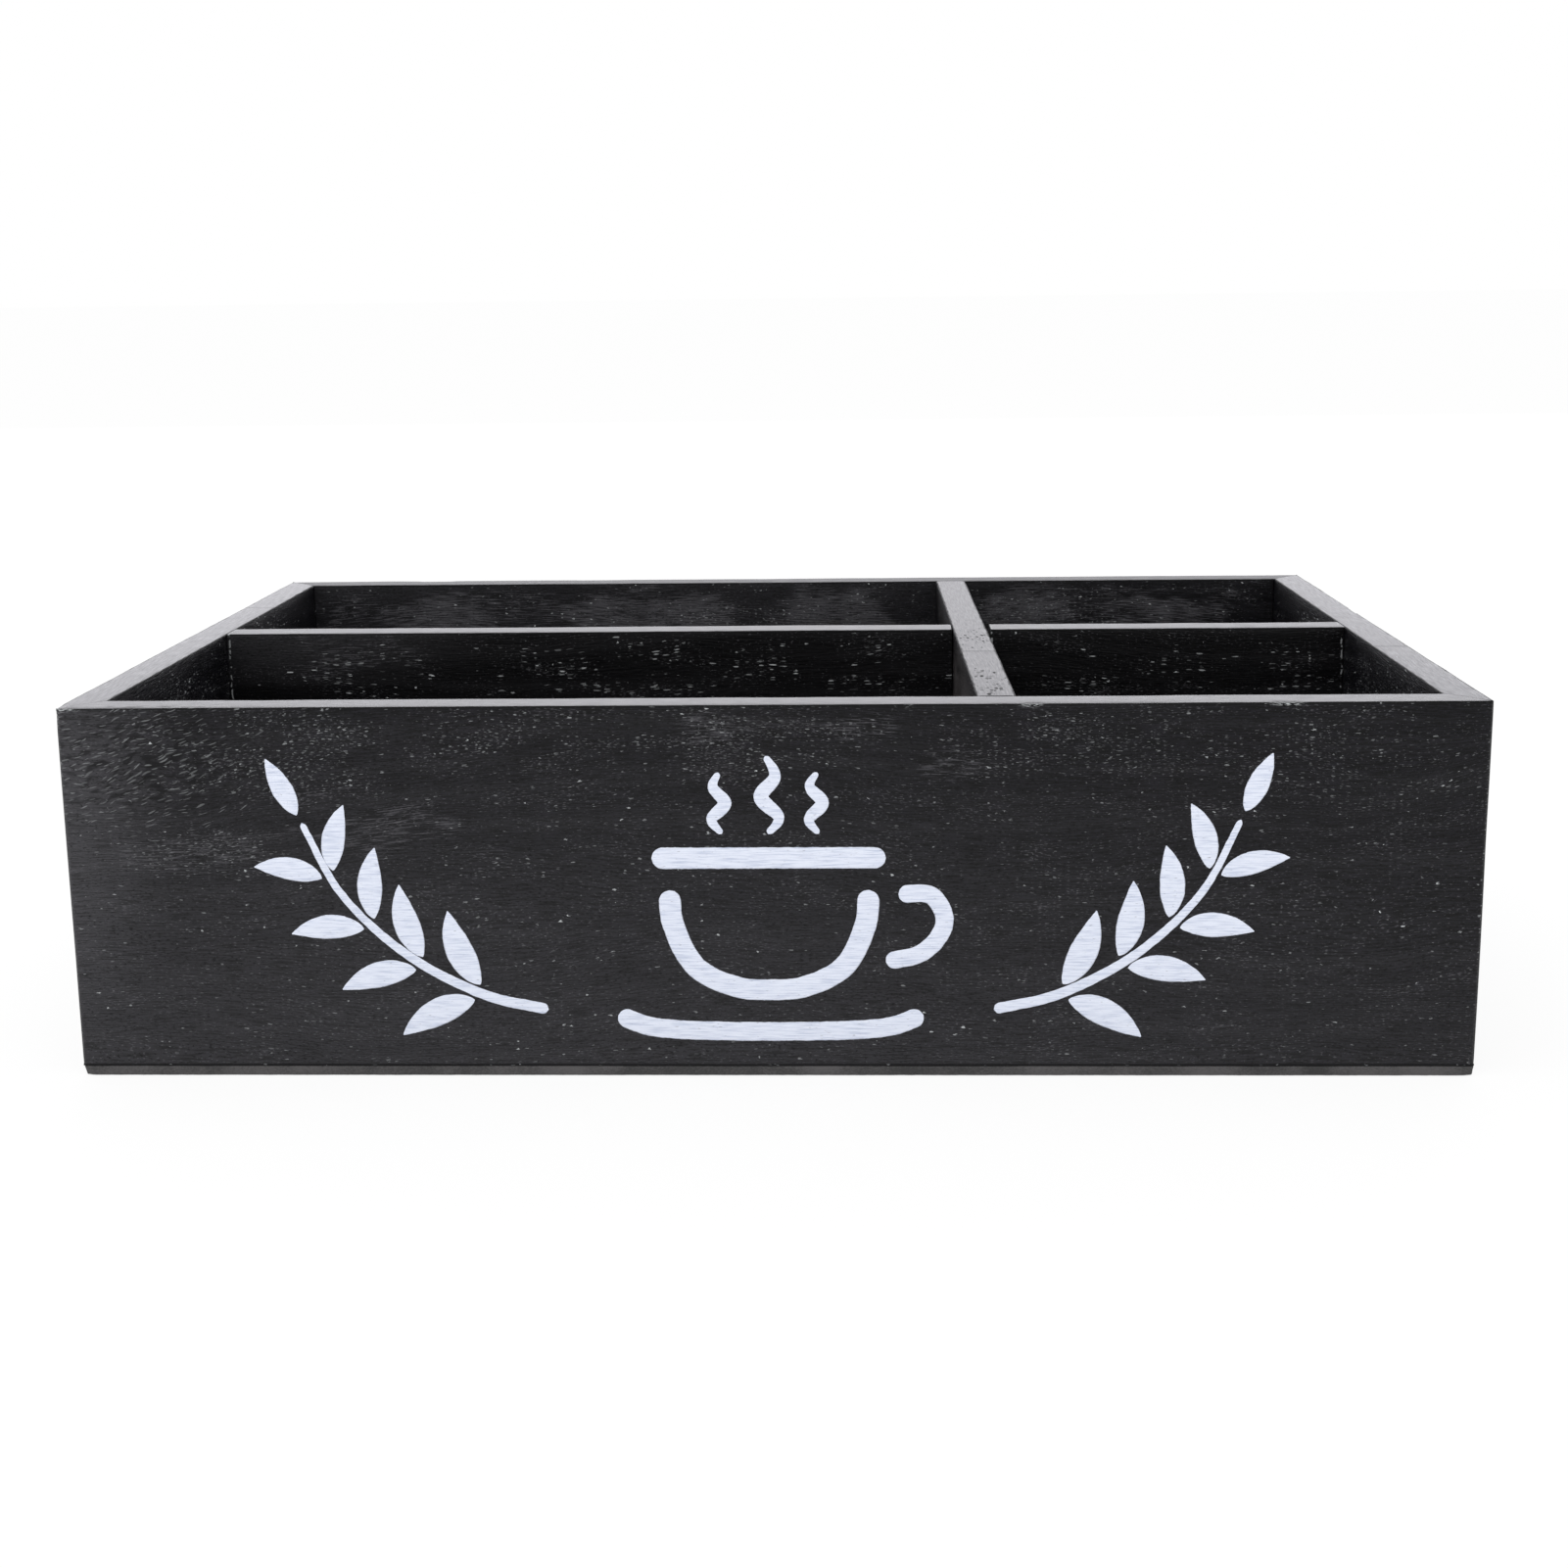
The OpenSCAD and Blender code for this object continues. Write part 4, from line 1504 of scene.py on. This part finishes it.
@dataclass
class FrontStencil:
    """The painted motif on the front board: a steaming cup on its saucer between two leafy sprigs."""

    plan: BoxPlan
    relief: Relief
    material: bpy.types.Material
    film: float = 0.1
    raggedness: float = 0.16
    cup: tuple[Stroke, ...] = (
        Stroke(((-24, 47), (-23, 38), (-18, 28), (-9, 23), (0, 22), (9, 23), (18, 28), (23, 38), (24, 47))),
        Stroke(((-28, 55), (28, 55))),
        Stroke(((31, 46), (39, 45.5), (42, 38.5), (37, 31.5), (28, 29)), 4.4),
        Stroke(((-37, 15.5), (-26, 12.2), (0, 11.4), (26, 12.2), (37, 15.5)), 4.8),
        Stroke(((-11, 61), (-13.4, 64.5), (-10.2, 68.5), (-13, 72.5), (-11.6, 76)), 3.2, 0.6),
        Stroke(((0, 61), (2.6, 65), (-1.6, 70), (1.8, 75), (-0.4, 80)), 3.6, 0.6),
        Stroke(((12, 61), (9.8, 64.5), (13, 68.5), (10, 72.5), (11.8, 76)), 3.2, 0.6),
    )
    stem: tuple[tuple[float, float], ...] = ((54, 17), (70, 21), (88, 31), (103, 46), (112, 64))
    pairs: int = 5
    leaf_length: float = 22.0

    def settle(self, piece: bpy.types.Object) -> None:
        """Lays a flat piece, made in X and Y, on the worn face of the board and lets it ride on the body."""
        along, up = Vector((1.0, 0.0, 0.0)), Vector((0.0, 0.0, 1.0))
        turn = Matrix((along, up, along.cross(up))).transposed().to_4x4()
        middle, face = float(self.plan.low[0] + self.plan.high[0]) / 2, float(self.plan.low[1])
        piece.data.transform(Matrix.Translation(Vector((middle, face, 0.0)) * MM) @ turn)
        count = len(piece.data.vertices)
        points = np.zeros(count * 3)
        piece.data.vertices.foreach_get("co", points)
        points = points.reshape(-1, 3)
        level = np.stack([points[:, 0] / MM, np.full(count, face), points[:, 2] / MM], axis=-1)
        points[:, 1] += MM * self.relief.wave(level)
        piece.data.vertices.foreach_set("co", points.ravel())
        piece.data.update()
        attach(piece, BODY)
        finish_piece(piece, self.material)

    def build(self) -> None:
        """Paints the cup and both sprigs."""
        film = paint_film_group()
        shared = {"Film": MM * self.film, "Raggedness": MM * self.raggedness, "Material": self.material}
        cup = stroke_mesh("front_cup_motif", self.cup)
        self.settle(grown(cup, stroke_tree(film), {**shared, "Seed": 0.3}))
        tree = sprig_tree(film)
        for name, side, seed in (("front_left_sprig", -1.0, 1.7), ("front_right_sprig", 1.0, 4.1)):
            line = stroke_mesh(name, (Stroke(tuple((side * x, y) for x, y in self.stem)),))
            inputs = {**shared, "Seed": seed, "Pairs": self.pairs, "Leaf Length": MM * self.leaf_length}
            self.settle(grown(line, tree, inputs))


def solid_boxes(node: str) -> list[tuple[np.ndarray, np.ndarray]]:
    """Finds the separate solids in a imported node.

    Args:
        node: the node's name.

    Returns:
        Lowest and highest corner of each solid, in millimetres.
    """
    shaped = bmesh.new()
    shaped.from_mesh(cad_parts[node].data)
    bmesh.ops.remove_doubles(shaped, verts=shaped.verts, dist=1e-7)
    waiting = set(shaped.verts)
    boxes = []
    while waiting:
        island = [waiting.pop()]
        for vertex in island:
            for edge in vertex.link_edges:
                other = edge.other_vert(vertex)
                if other in waiting:
                    waiting.remove(other)
                    island.append(other)
        points = np.array([tuple(vertex.co) for vertex in island]) / MM
        boxes.append((points.min(axis=0), points.max(axis=0)))
    shaped.free()
    return sorted(boxes, key=lambda box: tuple(box[0]))


@dataclass
class Fasteners:
    """The brads and staples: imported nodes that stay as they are, and the pockets that their heads sit in."""

    plan: BoxPlan
    brad_nodes: tuple[str, ...] = (
        "left_corner_brads", "right_corner_brads",
        "left_divider_brads", "right_divider_brads", "back_divider_brads",
    )
    staple_nodes: tuple[str, ...] = ("base_wall_staples", "base_divider_staples")
    clearance: float = 0.05
    head_depth: float = 1.0
    overshoot: float = 1.0

    def pockets(self, nodes: tuple[str, ...], axis: int, outward: float) -> list[bpy.types.Object]:
        """Makes the blocks that open a board's face over its fasteners.

        Args:
            nodes: the fasteners' nodes.
            axis: axis that the fasteners were driven along.
            outward: 1 if the face points up that axis and -1 if it points down.

        Returns:
            One block for each fastener.
        """
        blocks = []
        for node in nodes:
            for number, (low, high) in enumerate(solid_boxes(node)):
                start, end = low - self.clearance, high + self.clearance
                if outward > 0:
                    start[axis] = high[axis] - self.head_depth
                    end[axis] = self.plan.high[axis] + self.overshoot
                else:
                    end[axis] = low[axis] + self.head_depth
                    start[axis] = self.plan.low[axis] - self.overshoot
                blocks.append(block(f"pocket_{node}_{number}", tuple(start), tuple(end)))
        return blocks

    def dress(self, material: bpy.types.Material) -> None:
        """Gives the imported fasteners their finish."""
        for node in self.brad_nodes + self.staple_nodes:
            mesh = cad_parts[node].data
            mesh.materials.clear()
            mesh.materials.append(material)
            logger.info("%s: dressed", node)


@dataclass
class OuterWalls:
    """The four mitred boards round the box."""

    plan: BoxPlan
    relief: Relief
    fasteners: Fasteners
    finishes: dict[Side, bpy.types.Material]
    front_flow: GrainFlow = GrainFlow(
        swirls=(
            Swirl(-105.0, 60.0, (26.0, 13.0), 3.4),
            Swirl(128.0, 72.0, (12.0, 10.0), -1.6),
            Swirl(162.0, 66.0, (9.0, 10.0), 1.6),
        )
    )
    grain_spacing: float = 500.0

    def build(self) -> None:
        """Makes the four boards."""
        brads = {
            Side.LEFT: (("left_corner_brads", "left_divider_brads"), 0, -1.0),
            Side.RIGHT: (("right_corner_brads", "right_divider_brads"), 0, 1.0),
            Side.BACK: (("back_divider_brads",), 1, 1.0),
        }
        for number, side in enumerate(Side, start=1):
            turn, shift = side.place(self.plan)
            board = Board(
                node=f"{side.name.lower()}_wall",
                length=self.plan.width if side in (Side.FRONT, Side.BACK) else self.plan.depth,
                height=self.plan.board_height,
                thickness=self.plan.wall,
                relief=self.relief,
                turn=turn,
                shift=shift,
                mitred=True,
                flow=self.front_flow if side is Side.FRONT else GrainFlow(),
                grain_offset=self.grain_spacing * number,
            )
            piece = board.build(self.fasteners.pockets(*brads[side]) if side in brads else [])
            finish_piece(piece, self.finishes[side])


@dataclass
class Dividers:
    """The long and the cross divider, halved over each other."""

    plan: BoxPlan
    relief: Relief
    long_finish: bpy.types.Material
    cross_finish: bpy.types.Material
    rim_radius: float = 0.42
    skew: float = 0.43
    slot_floor: float = 47.5
    slot_play: tuple[float, float] = (0.12, 1.0)
    notch_roof: float = 47.9
    notch_play: float = 0.2
    overshoot: float = 5.0

    def build(self) -> None:
        """Makes both dividers."""
        plan = self.plan
        shared = {
            "height": plan.board_height, "relief": self.relief,
            "outer_radius": self.rim_radius, "inner_radius": self.rim_radius,
        }
        long_board = Board(
            node="long_divider", length=plan.width - 2.0 * plan.wall,
            thickness=plan.long_high - plan.long_low, turn=np.eye(3),
            shift=np.array([0.0, plan.long_low, plan.base]), grain_offset=2600.0, **shared,
        )
        cross_board = Board(
            node="cross_divider", length=plan.depth - 2.0 * plan.wall,
            thickness=plan.cross_high - plan.cross_low, turn=level_turn(self.skew - 90.0),
            shift=np.array([plan.cross_low, 0.0, plan.base]), grain_offset=3300.0, **shared,
        )
        slot, notch = self.lap_blocks()
        finish_piece(long_board.build([slot]), self.long_finish)
        finish_piece(cross_board.build([notch]), self.cross_finish)

    def lap_blocks(self) -> tuple[bpy.types.Object, bpy.types.Object]:
        """Makes the blocks that cut the long divider's slot and the cross divider's notch."""
        plan, past = self.plan, self.overshoot
        slot = block(
            "slot_cutter",
            (plan.cross_low - self.slot_play[0], plan.long_low - past, self.slot_floor),
            (plan.cross_high + self.slot_play[1], plan.long_high + past, plan.rim + past),
        )
        notch = block(
            "notch_cutter",
            (plan.cross_low - past, plan.long_low - self.notch_play, plan.base - past),
            (plan.cross_high + past, plan.long_high + self.notch_play, self.notch_roof),
        )
        return slot, notch


@dataclass
class BasePanel:
    """The thin fibreboard sheet under the boards, its cut edge fuzzy and a little worn."""

    plan: BoxPlan
    fasteners: Fasteners
    corner_radius: float = 1.0
    least_radius: float = 0.4
    spacing: float = 0.7
    edge_loss: float = 0.04
    edge_reach: float = 0.9
    fuzz: float = 0.22
    fuzz_length: tuple[float, float, float] = (0.9, 0.9, 0.5)
    slow_length: float = 9.0
    hole_gap: float = 0.6
    rings: tuple[tuple[float, float], ...] = (
        (14.0, 0.0), (5.0, 0.0), (1.6, 0.0), (0.7, 0.0), (0.35, 0.04), (0.12, 0.2), (0.02, 0.5),
        (0.0, 0.9), (0.0, 1.3), (0.0, 1.7), (0.02, 2.1), (0.1, 2.35), (0.3, 2.48), (0.8, 2.5),
        (2.0, 2.5), (5.0, 2.5), (14.0, 2.5),
    )
    spots: tuple[WearSpot, ...] = (
        WearSpot((-170.0, -107.5, 0.2), 3.0, 0.7),
        WearSpot((170.0, -107.5, 0.2), 3.0, 0.4),
        WearSpot((-170.0, 107.5, 0.5), 4.0, 0.6),
    )

    def outline(self, inset: float, steps: tuple[int, int]) -> Outline:
        """Returns the sheet's outline, drawn in by a distance."""
        radius = max(self.corner_radius - inset, self.least_radius)
        width, depth = self.plan.width - 2.0 * inset, self.plan.depth - 2.0 * inset
        return rounded_rectangle(width, depth, (radius,) * 4, steps, 8)

    def build(self, material: bpy.types.Material) -> None:
        """Makes the sheet and opens it over its staples."""
        plan = self.plan
        steps = (int(plan.depth / self.spacing), int(plan.width / self.spacing))
        flat = self.outline(0.0, steps)
        around = flat.points + plan.low[:2]
        back = np.roll(around, 1, axis=0) - np.roll(around, -1, axis=0)
        out = np.stack([back[:, 1], -back[:, 0]], axis=-1)
        out /= np.linalg.norm(out, axis=-1, keepdims=True)
        out *= np.sign(np.sum(out * around))
        noise = LatticeNoise(77)
        layers = []
        for inset, height in self.rings:
            ring = self.outline(inset, steps).points + plan.low[:2] + inset
            points = np.column_stack([ring, np.full(len(ring), height)])
            near = math.exp(-((inset / self.edge_reach) ** 2))
            fine = 0.5 + 0.5 * noise.at(points, self.fuzz_length)
            slow = 0.5 + 0.5 * noise.at(points + SLOW_FUZZ, self.slow_length)
            loss = near * (self.edge_loss + self.fuzz * (0.6 * fine + 0.4 * slow))
            for spot in self.spots:
                loss = loss + spot.loss(points)
            points[:, :2] -= out * loss[:, None]
            layers.append(points)
        edge = np.array([inset for inset, _ in self.rings])[:, None] * np.ones(len(around))
        run = np.broadcast_to(flat.run, edge.shape)
        grain = np.stack([run, edge], axis=-1)
        piece = Skin(np.stack(layers), grain, flat.girth, edge, np.zeros(edge.shape)).build("base_sheet")
        cut_away(piece, self.fasteners.pockets(self.fasteners.staple_nodes, 2, -1.0))
        self.measure_edge(piece.data)
        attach(piece, BODY)
        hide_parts("base_panel")
        finish_piece(piece, material)

    def measure_edge(self, mesh: bpy.types.Mesh) -> None:
        """Gives the corners of the staple holes their distance from the sheet's sides."""
        points = np.zeros(3 * len(mesh.vertices), np.float32)
        mesh.vertices.foreach_get("co", points)
        places = points.reshape(-1, 3)[:, :2] / MM
        gaps = np.minimum(places - self.plan.low[:2], self.plan.high[:2] - places).min(axis=1)
        layer = mesh.attributes[ARRIS_LAYER].data
        stored = np.zeros(len(mesh.vertices), np.float32)
        layer.foreach_get("value", stored)
        stored = np.where(gaps > stored + self.hole_gap, gaps, stored)
        layer.foreach_set("value", stored.astype(np.float32))


@dataclass(frozen=True)
class SoftLamp:
    """A large flat lamp: where it hangs, what it points at, its sides in metres and its power in watts."""

    name: str
    place: tuple[float, float, float]
    target: tuple[float, float, float]
    size: tuple[float, float]
    power: float
    colour: Colour = (1.0, 1.0, 1.0)

    def hang(self) -> None:
        """Puts the lamp in the scene, out of the camera's sight."""
        light = bpy.data.lights.new(self.name, "AREA")
        light.shape = "RECTANGLE"
        light.size, light.size_y = self.size
        light.energy = self.power
        light.color = self.colour
        lamp = link(bpy.data.objects.new(self.name, light))
        lamp.location = self.place
        aim = Vector(self.target) - Vector(self.place)
        lamp.rotation_euler = aim.to_track_quat("-Z", "Y").to_euler()
        lamp.visible_camera = False


@dataclass
class Studio:
    """The pale floor, the white surroundings, the lamps and the camera."""

    floor_reach: float = 40.0
    floor_gap: float = 0.0001
    floor_show: float = 0.88
    air_strength: float = 0.95
    camera_place: tuple[float, float, float] = (19.8, -581.6, 188.6)
    yaw: float = -1.882
    pitch: float = 10.931
    roll: float = -0.676
    focal_length: float = 47.22
    shift_y: float = -0.0628
    lamps: tuple[SoftLamp, ...] = (
        SoftLamp("top_lamp", (-0.35, -0.5, 1.6), (0.0, 0.0, 0.0), (1.6, 1.2), 9.0),
        SoftLamp("back_lamp", (0.0, 2.2, 0.75), (0.0, 0.0, 0.08), (3.4, 1.2), 25.5, (0.94, 0.93, 1.0)),
    )

    def build(self) -> None:
        """Sets everything up."""
        self.lay_floor()
        self.fill_air()
        for lamp in self.lamps:
            lamp.hang()
        self.set_camera()
        bpy.context.scene.view_settings.view_transform = "Standard"

    @staticmethod
    def seen_directly(graph: Graph) -> bpy.types.NodeSocket:
        """Adds the mask of rays that show the surroundings: to the camera, in gloss and through glass."""
        path = graph.add("ShaderNodeLightPath").outputs
        seen = graph.math("MAXIMUM", path["Is Camera Ray"], path["Is Glossy Ray"])
        return graph.math("MAXIMUM", seen, path["Is Transmission Ray"])

    def lay_floor(self) -> None:
        """Makes the floor: white to the camera, with the shadow kept."""
        mesh = bpy.data.meshes.new("studio_floor")
        reach = self.floor_reach
        corners = [(-reach, -reach), (reach, -reach), (reach, reach), (-reach, reach)]
        mesh.from_pydata([(x, y, -self.floor_gap) for x, y in corners], [], [(0, 1, 2, 3)])
        floor = link(bpy.data.objects.new("studio_floor", mesh))
        material, graph, shader = new_material("pale_floor")
        shader.inputs["Base Color"].default_value = (0.95, 0.95, 0.95, 1.0)
        shader.inputs["Roughness"].default_value = 0.9
        shader.inputs["Specular IOR Level"].default_value = 0.0
        glow = graph.add("ShaderNodeEmission", {"Color": (1.0, 1.0, 1.0, 1.0), "Strength": 1.0})
        share = graph.math("MULTIPLY", self.seen_directly(graph), self.floor_show)
        inputs = {0: share, 1: shader.outputs[0], 2: glow.outputs[0]}
        mixed = graph.add("ShaderNodeMixShader", inputs).outputs[0]
        graph.feed(material.node_tree.nodes["Material Output"].inputs["Surface"], mixed)
        mesh.materials.append(material)

    def fill_air(self) -> None:
        """Makes the surroundings white, and a little softer as a light than as a picture."""
        world = bpy.data.worlds.new("studio_air")
        bpy.context.scene.world = world
        world.use_nodes = True
        graph = Graph(world.node_tree)
        background = world.node_tree.nodes["Background"]
        seen = self.seen_directly(graph)
        strength = graph.math("MULTIPLY_ADD", seen, 1.0 - self.air_strength, self.air_strength)
        background.inputs["Color"].default_value = (1.0, 1.0, 1.0, 1.0)
        graph.feed(background.inputs["Strength"], strength)

    def set_camera(self) -> None:
        """Makes the camera at the photograph's place and angle."""
        camera = bpy.data.cameras.new("photo_camera")
        camera.sensor_width = 36.0
        camera.lens = self.focal_length
        camera.shift_y = self.shift_y
        camera.clip_start, camera.clip_end = 0.01, 50.0
        camera.dof.use_dof = False
        yaw, pitch, roll = (math.radians(angle) for angle in (self.yaw, self.pitch, self.roll))
        ahead = Vector((math.sin(yaw) * math.cos(pitch), math.cos(yaw) * math.cos(pitch), -math.sin(pitch)))
        right = Vector((math.cos(yaw), -math.sin(yaw), 0.0))
        up = right.cross(ahead)
        level = math.cos(roll) * right + math.sin(roll) * up
        upright = -math.sin(roll) * right + math.cos(roll) * up
        obj = link(bpy.data.objects.new("photo_camera", camera))
        turn = Matrix((level, upright, -ahead)).transposed().to_4x4()
        obj.matrix_world = Matrix.Translation(Vector(self.camera_place) * MM) @ turn
        bpy.context.scene.camera = obj


def face_spots(face: float, axis: int, *areas: tuple[float, ...]) -> tuple[PatchSpot, ...]:
    """Places oval areas on an upright face.

    Args:
        face: place of the face on its axis, in millimetres.
        axis: 0 for a face across X and 1 for one across Y.
        areas: middle along the face, middle height, half length and half height of each, and its strength.

    Returns:
        The areas, deep enough to cover the face but not the one behind it.
    """
    spots = []
    for along, height, long, high, *strength in areas:
        centre, reach = [along, along, height], [long, long, high]
        centre[axis], reach[axis] = face, 8.0
        spots.append(PatchSpot(tuple(centre), tuple(reach), *strength))
    return tuple(spots)


def wall_finishes(effects: Effects, plan: BoxPlan) -> dict[Side, bpy.types.Material]:
    """Makes each outer board's finish, with its figure, its rubbed places, its painted glints and the painted
    light on the front.
    """
    front_face, right_face = float(plan.low[1]), float(plan.high[0]) - plan.wall
    back_face, left_face = float(plan.high[1]) - plan.wall, float(plan.low[0]) + plan.wall
    front = PaintedWood(
        "front_paint", painted_glint_cover=0.1, speck_cover=0.05,
        figured=face_spots(front_face, 1, (-152.0, 79.0, 40.0, 22.0)),
        painted_glint_spots=face_spots(
            front_face, 1, (-112.0, 82.0, 46.0, 16.0), (-135.0, 56.0, 34.0, 8.0), (-6.0, 84.0, 46.0, 13.0),
            (-60.0, 86.0, 50.0, 8.0), (72.0, 82.0, 40.0, 14.0, 0.8), (130.0, 77.0, 60.0, 20.0, 0.4),
            (169.0, 60.0, 1.6, 40.0, 0.8),
        ),
        streaked=face_spots(
            front_face, 1, (-14.0, 87.0, 20.0, 6.0), (24.0, 87.0, 16.0, 6.0),
            (-96.0, 62.0, 46.0, 10.0), (-140.0, 56.0, 34.0, 8.0), (42.0, 77.0, 12.0, 6.0),
        ),
        # Painted light: both spots make the front paler towards its left end, standing for light that falls
        # more strongly there
        paler=face_spots(
            front_face, 1, (-190.0, -40.0, 640.0, 160.0, 0.26), (-185.0, 75.0, 50.0, 90.0, 0.45)
        ),
        scored=(CrossLine(0, 62.5, 0.9, 0.13, 0.1, low=91.5, lean=1.0),),
    )
    back = PaintedWood(
        "back_paint", haze_share=0.66, band_share=0.08, grain_share=0.8, painted_glint_cover=0.1,
        roughness=0.46,
        paler=face_spots(back_face, 1, (-70.0, 80.0, 240.0, 60.0, 0.12)),
        hazed=face_spots(
            back_face, 1, (-118.0, 79.0, 30.0, 16.0), (-48.0, 80.0, 46.0, 15.0), (14.0, 80.0, 30.0, 15.0),
            (78.0, 82.0, 26.0, 14.0), (125.0, 80.0, 30.0, 14.0, 0.7),
        ),
        streaked=face_spots(back_face, 1, (-90.0, 82.0, 130.0, 14.0), (110.0, 82.0, 60.0, 12.0)),
        painted_glint_spots=face_spots(back_face, 1, (80.0, 80.0, 40.0, 14.0), (-20.0, 78.0, 60.0, 12.0)),
    )
    left = PaintedWood(
        "left_paint", grain_share=0.5, scored=(CrossLine(1, 50.0, 0.4),),
        flecked=face_spots(left_face, 0, (40.0, 82.0, 60.0, 12.0), (-50.0, 80.0, 60.0, 12.0)),
        painted_glint_spots=face_spots(left_face, 0, (-50.0, 80.0, 60.0, 16.0)),
    )
    right = PaintedWood(
        "right_paint", roughness=0.355, grain_share=0.5,
        scored=(CrossLine(1, -32.0, 0.7, 0.14), CrossLine(1, -33.5, 0.5, 0.12)),
        flecked=face_spots(right_face, 0, (-50.0, 78.0, 60.0, 18.0), (50.0, 84.0, 40.0, 10.0)),
        painted_glint_spots=face_spots(right_face, 0, (-50.0, 78.0, 60.0, 18.0)),
    )
    return {
        Side.FRONT: front.build(effects), Side.BACK: back.build(effects),
        Side.LEFT: left.build(effects), Side.RIGHT: right.build(effects),
    }


def divider_finishes(
    effects: Effects, plan: BoxPlan
) -> tuple[bpy.types.Material, bpy.types.Material]:
    """Makes the long and the cross divider's finish, with the flecks and the worn joints."""
    ends = (float(plan.low[0]) + plan.wall + 0.5, float(plan.high[0]) - plan.wall - 0.5)
    long_finish = PaintedWood(
        "long_divider_paint", paint=(0.0018, 0.0017, 0.0022),
        speck_cover=0.06, grain_share=0.45, roughness=0.36,
        flecked=face_spots(
            plan.long_low, 1, (130.0, 81.0, 40.0, 11.0), (84.0, 81.0, 18.0, 10.0), (-50.0, 81.0, 60.0, 14.0),
            (20.0, 81.0, 44.0, 12.0), (-118.0, 80.0, 34.0, 12.0),
        ),
        streaked=face_spots(plan.long_low, 1, (-126.0, 86.0, 34.0, 8.0)),
        paler=face_spots(plan.long_low, 1, (-142.0, 90.0, 70.0, 16.0, 0.2)),
        dotted=(
            *(CrossLine(0, end, 0.6, 0.2, 1.2, low=52.0) for end in ends),
            CrossLine(0, plan.cross_high + 1.3, 0.7, low=86.0),
        ),
    )
    cross_finish = PaintedWood(
        "cross_divider_paint", roughness=0.375, grain_share=0.6,
        scored=(CrossLine(1, -35.6, 0.8, 0.14), CrossLine(1, -37.0, 0.5, 0.12)),
        pitted=face_spots(plan.cross_low + 5.0, 0, (-79.0, 92.0, 26.0, 5.0), (-15.0, 92.0, 22.0, 5.0)),
        hazed=face_spots(plan.cross_low, 0, (-40.0, 78.0, 60.0, 20.0, 0.8)),
        paler=face_spots(plan.cross_low, 0, (-72.0, 66.0, 54.0, 28.0), (-14.0, 64.0, 15.0, 30.0, 0.6)),
        rubbed=(0.104, 0.094, 0.096),
    )
    return long_finish.build(effects), cross_finish.build(effects)


def main() -> None:
    """Builds the dressed box and its studio."""
    logging.basicConfig(level=logging.INFO, format="%(name)s: %(message)s")
    plan = BoxPlan.measured()
    effects = Effects()
    relief = Relief(
        spots=(
            WearSpot((62.0, -107.5, 92.5), 3.5, 0.7), WearSpot((122.0, -107.5, 92.5), 5.0, 0.45),
            WearSpot((-170.0, -107.5, 92.5), 6.0, 0.9),
            WearSpot((-120.0, 107.5, 92.5), 7.0, 0.6), WearSpot((170.0, 30.0, 92.5), 6.0, 0.6),
        )
    )
    fasteners = Fasteners(plan)
    OuterWalls(plan, relief, fasteners, wall_finishes(effects, plan)).build()
    Dividers(plan, relief, *divider_finishes(effects, plan)).build()
    BasePanel(plan, fasteners).build(Fibreboard().build())
    fasteners.dress(CoatedSteel().build(plan))
    FrontStencil(plan, relief, StencilPaint().build()).build()
    Studio().build()


if __name__ == "__main__":
    main()
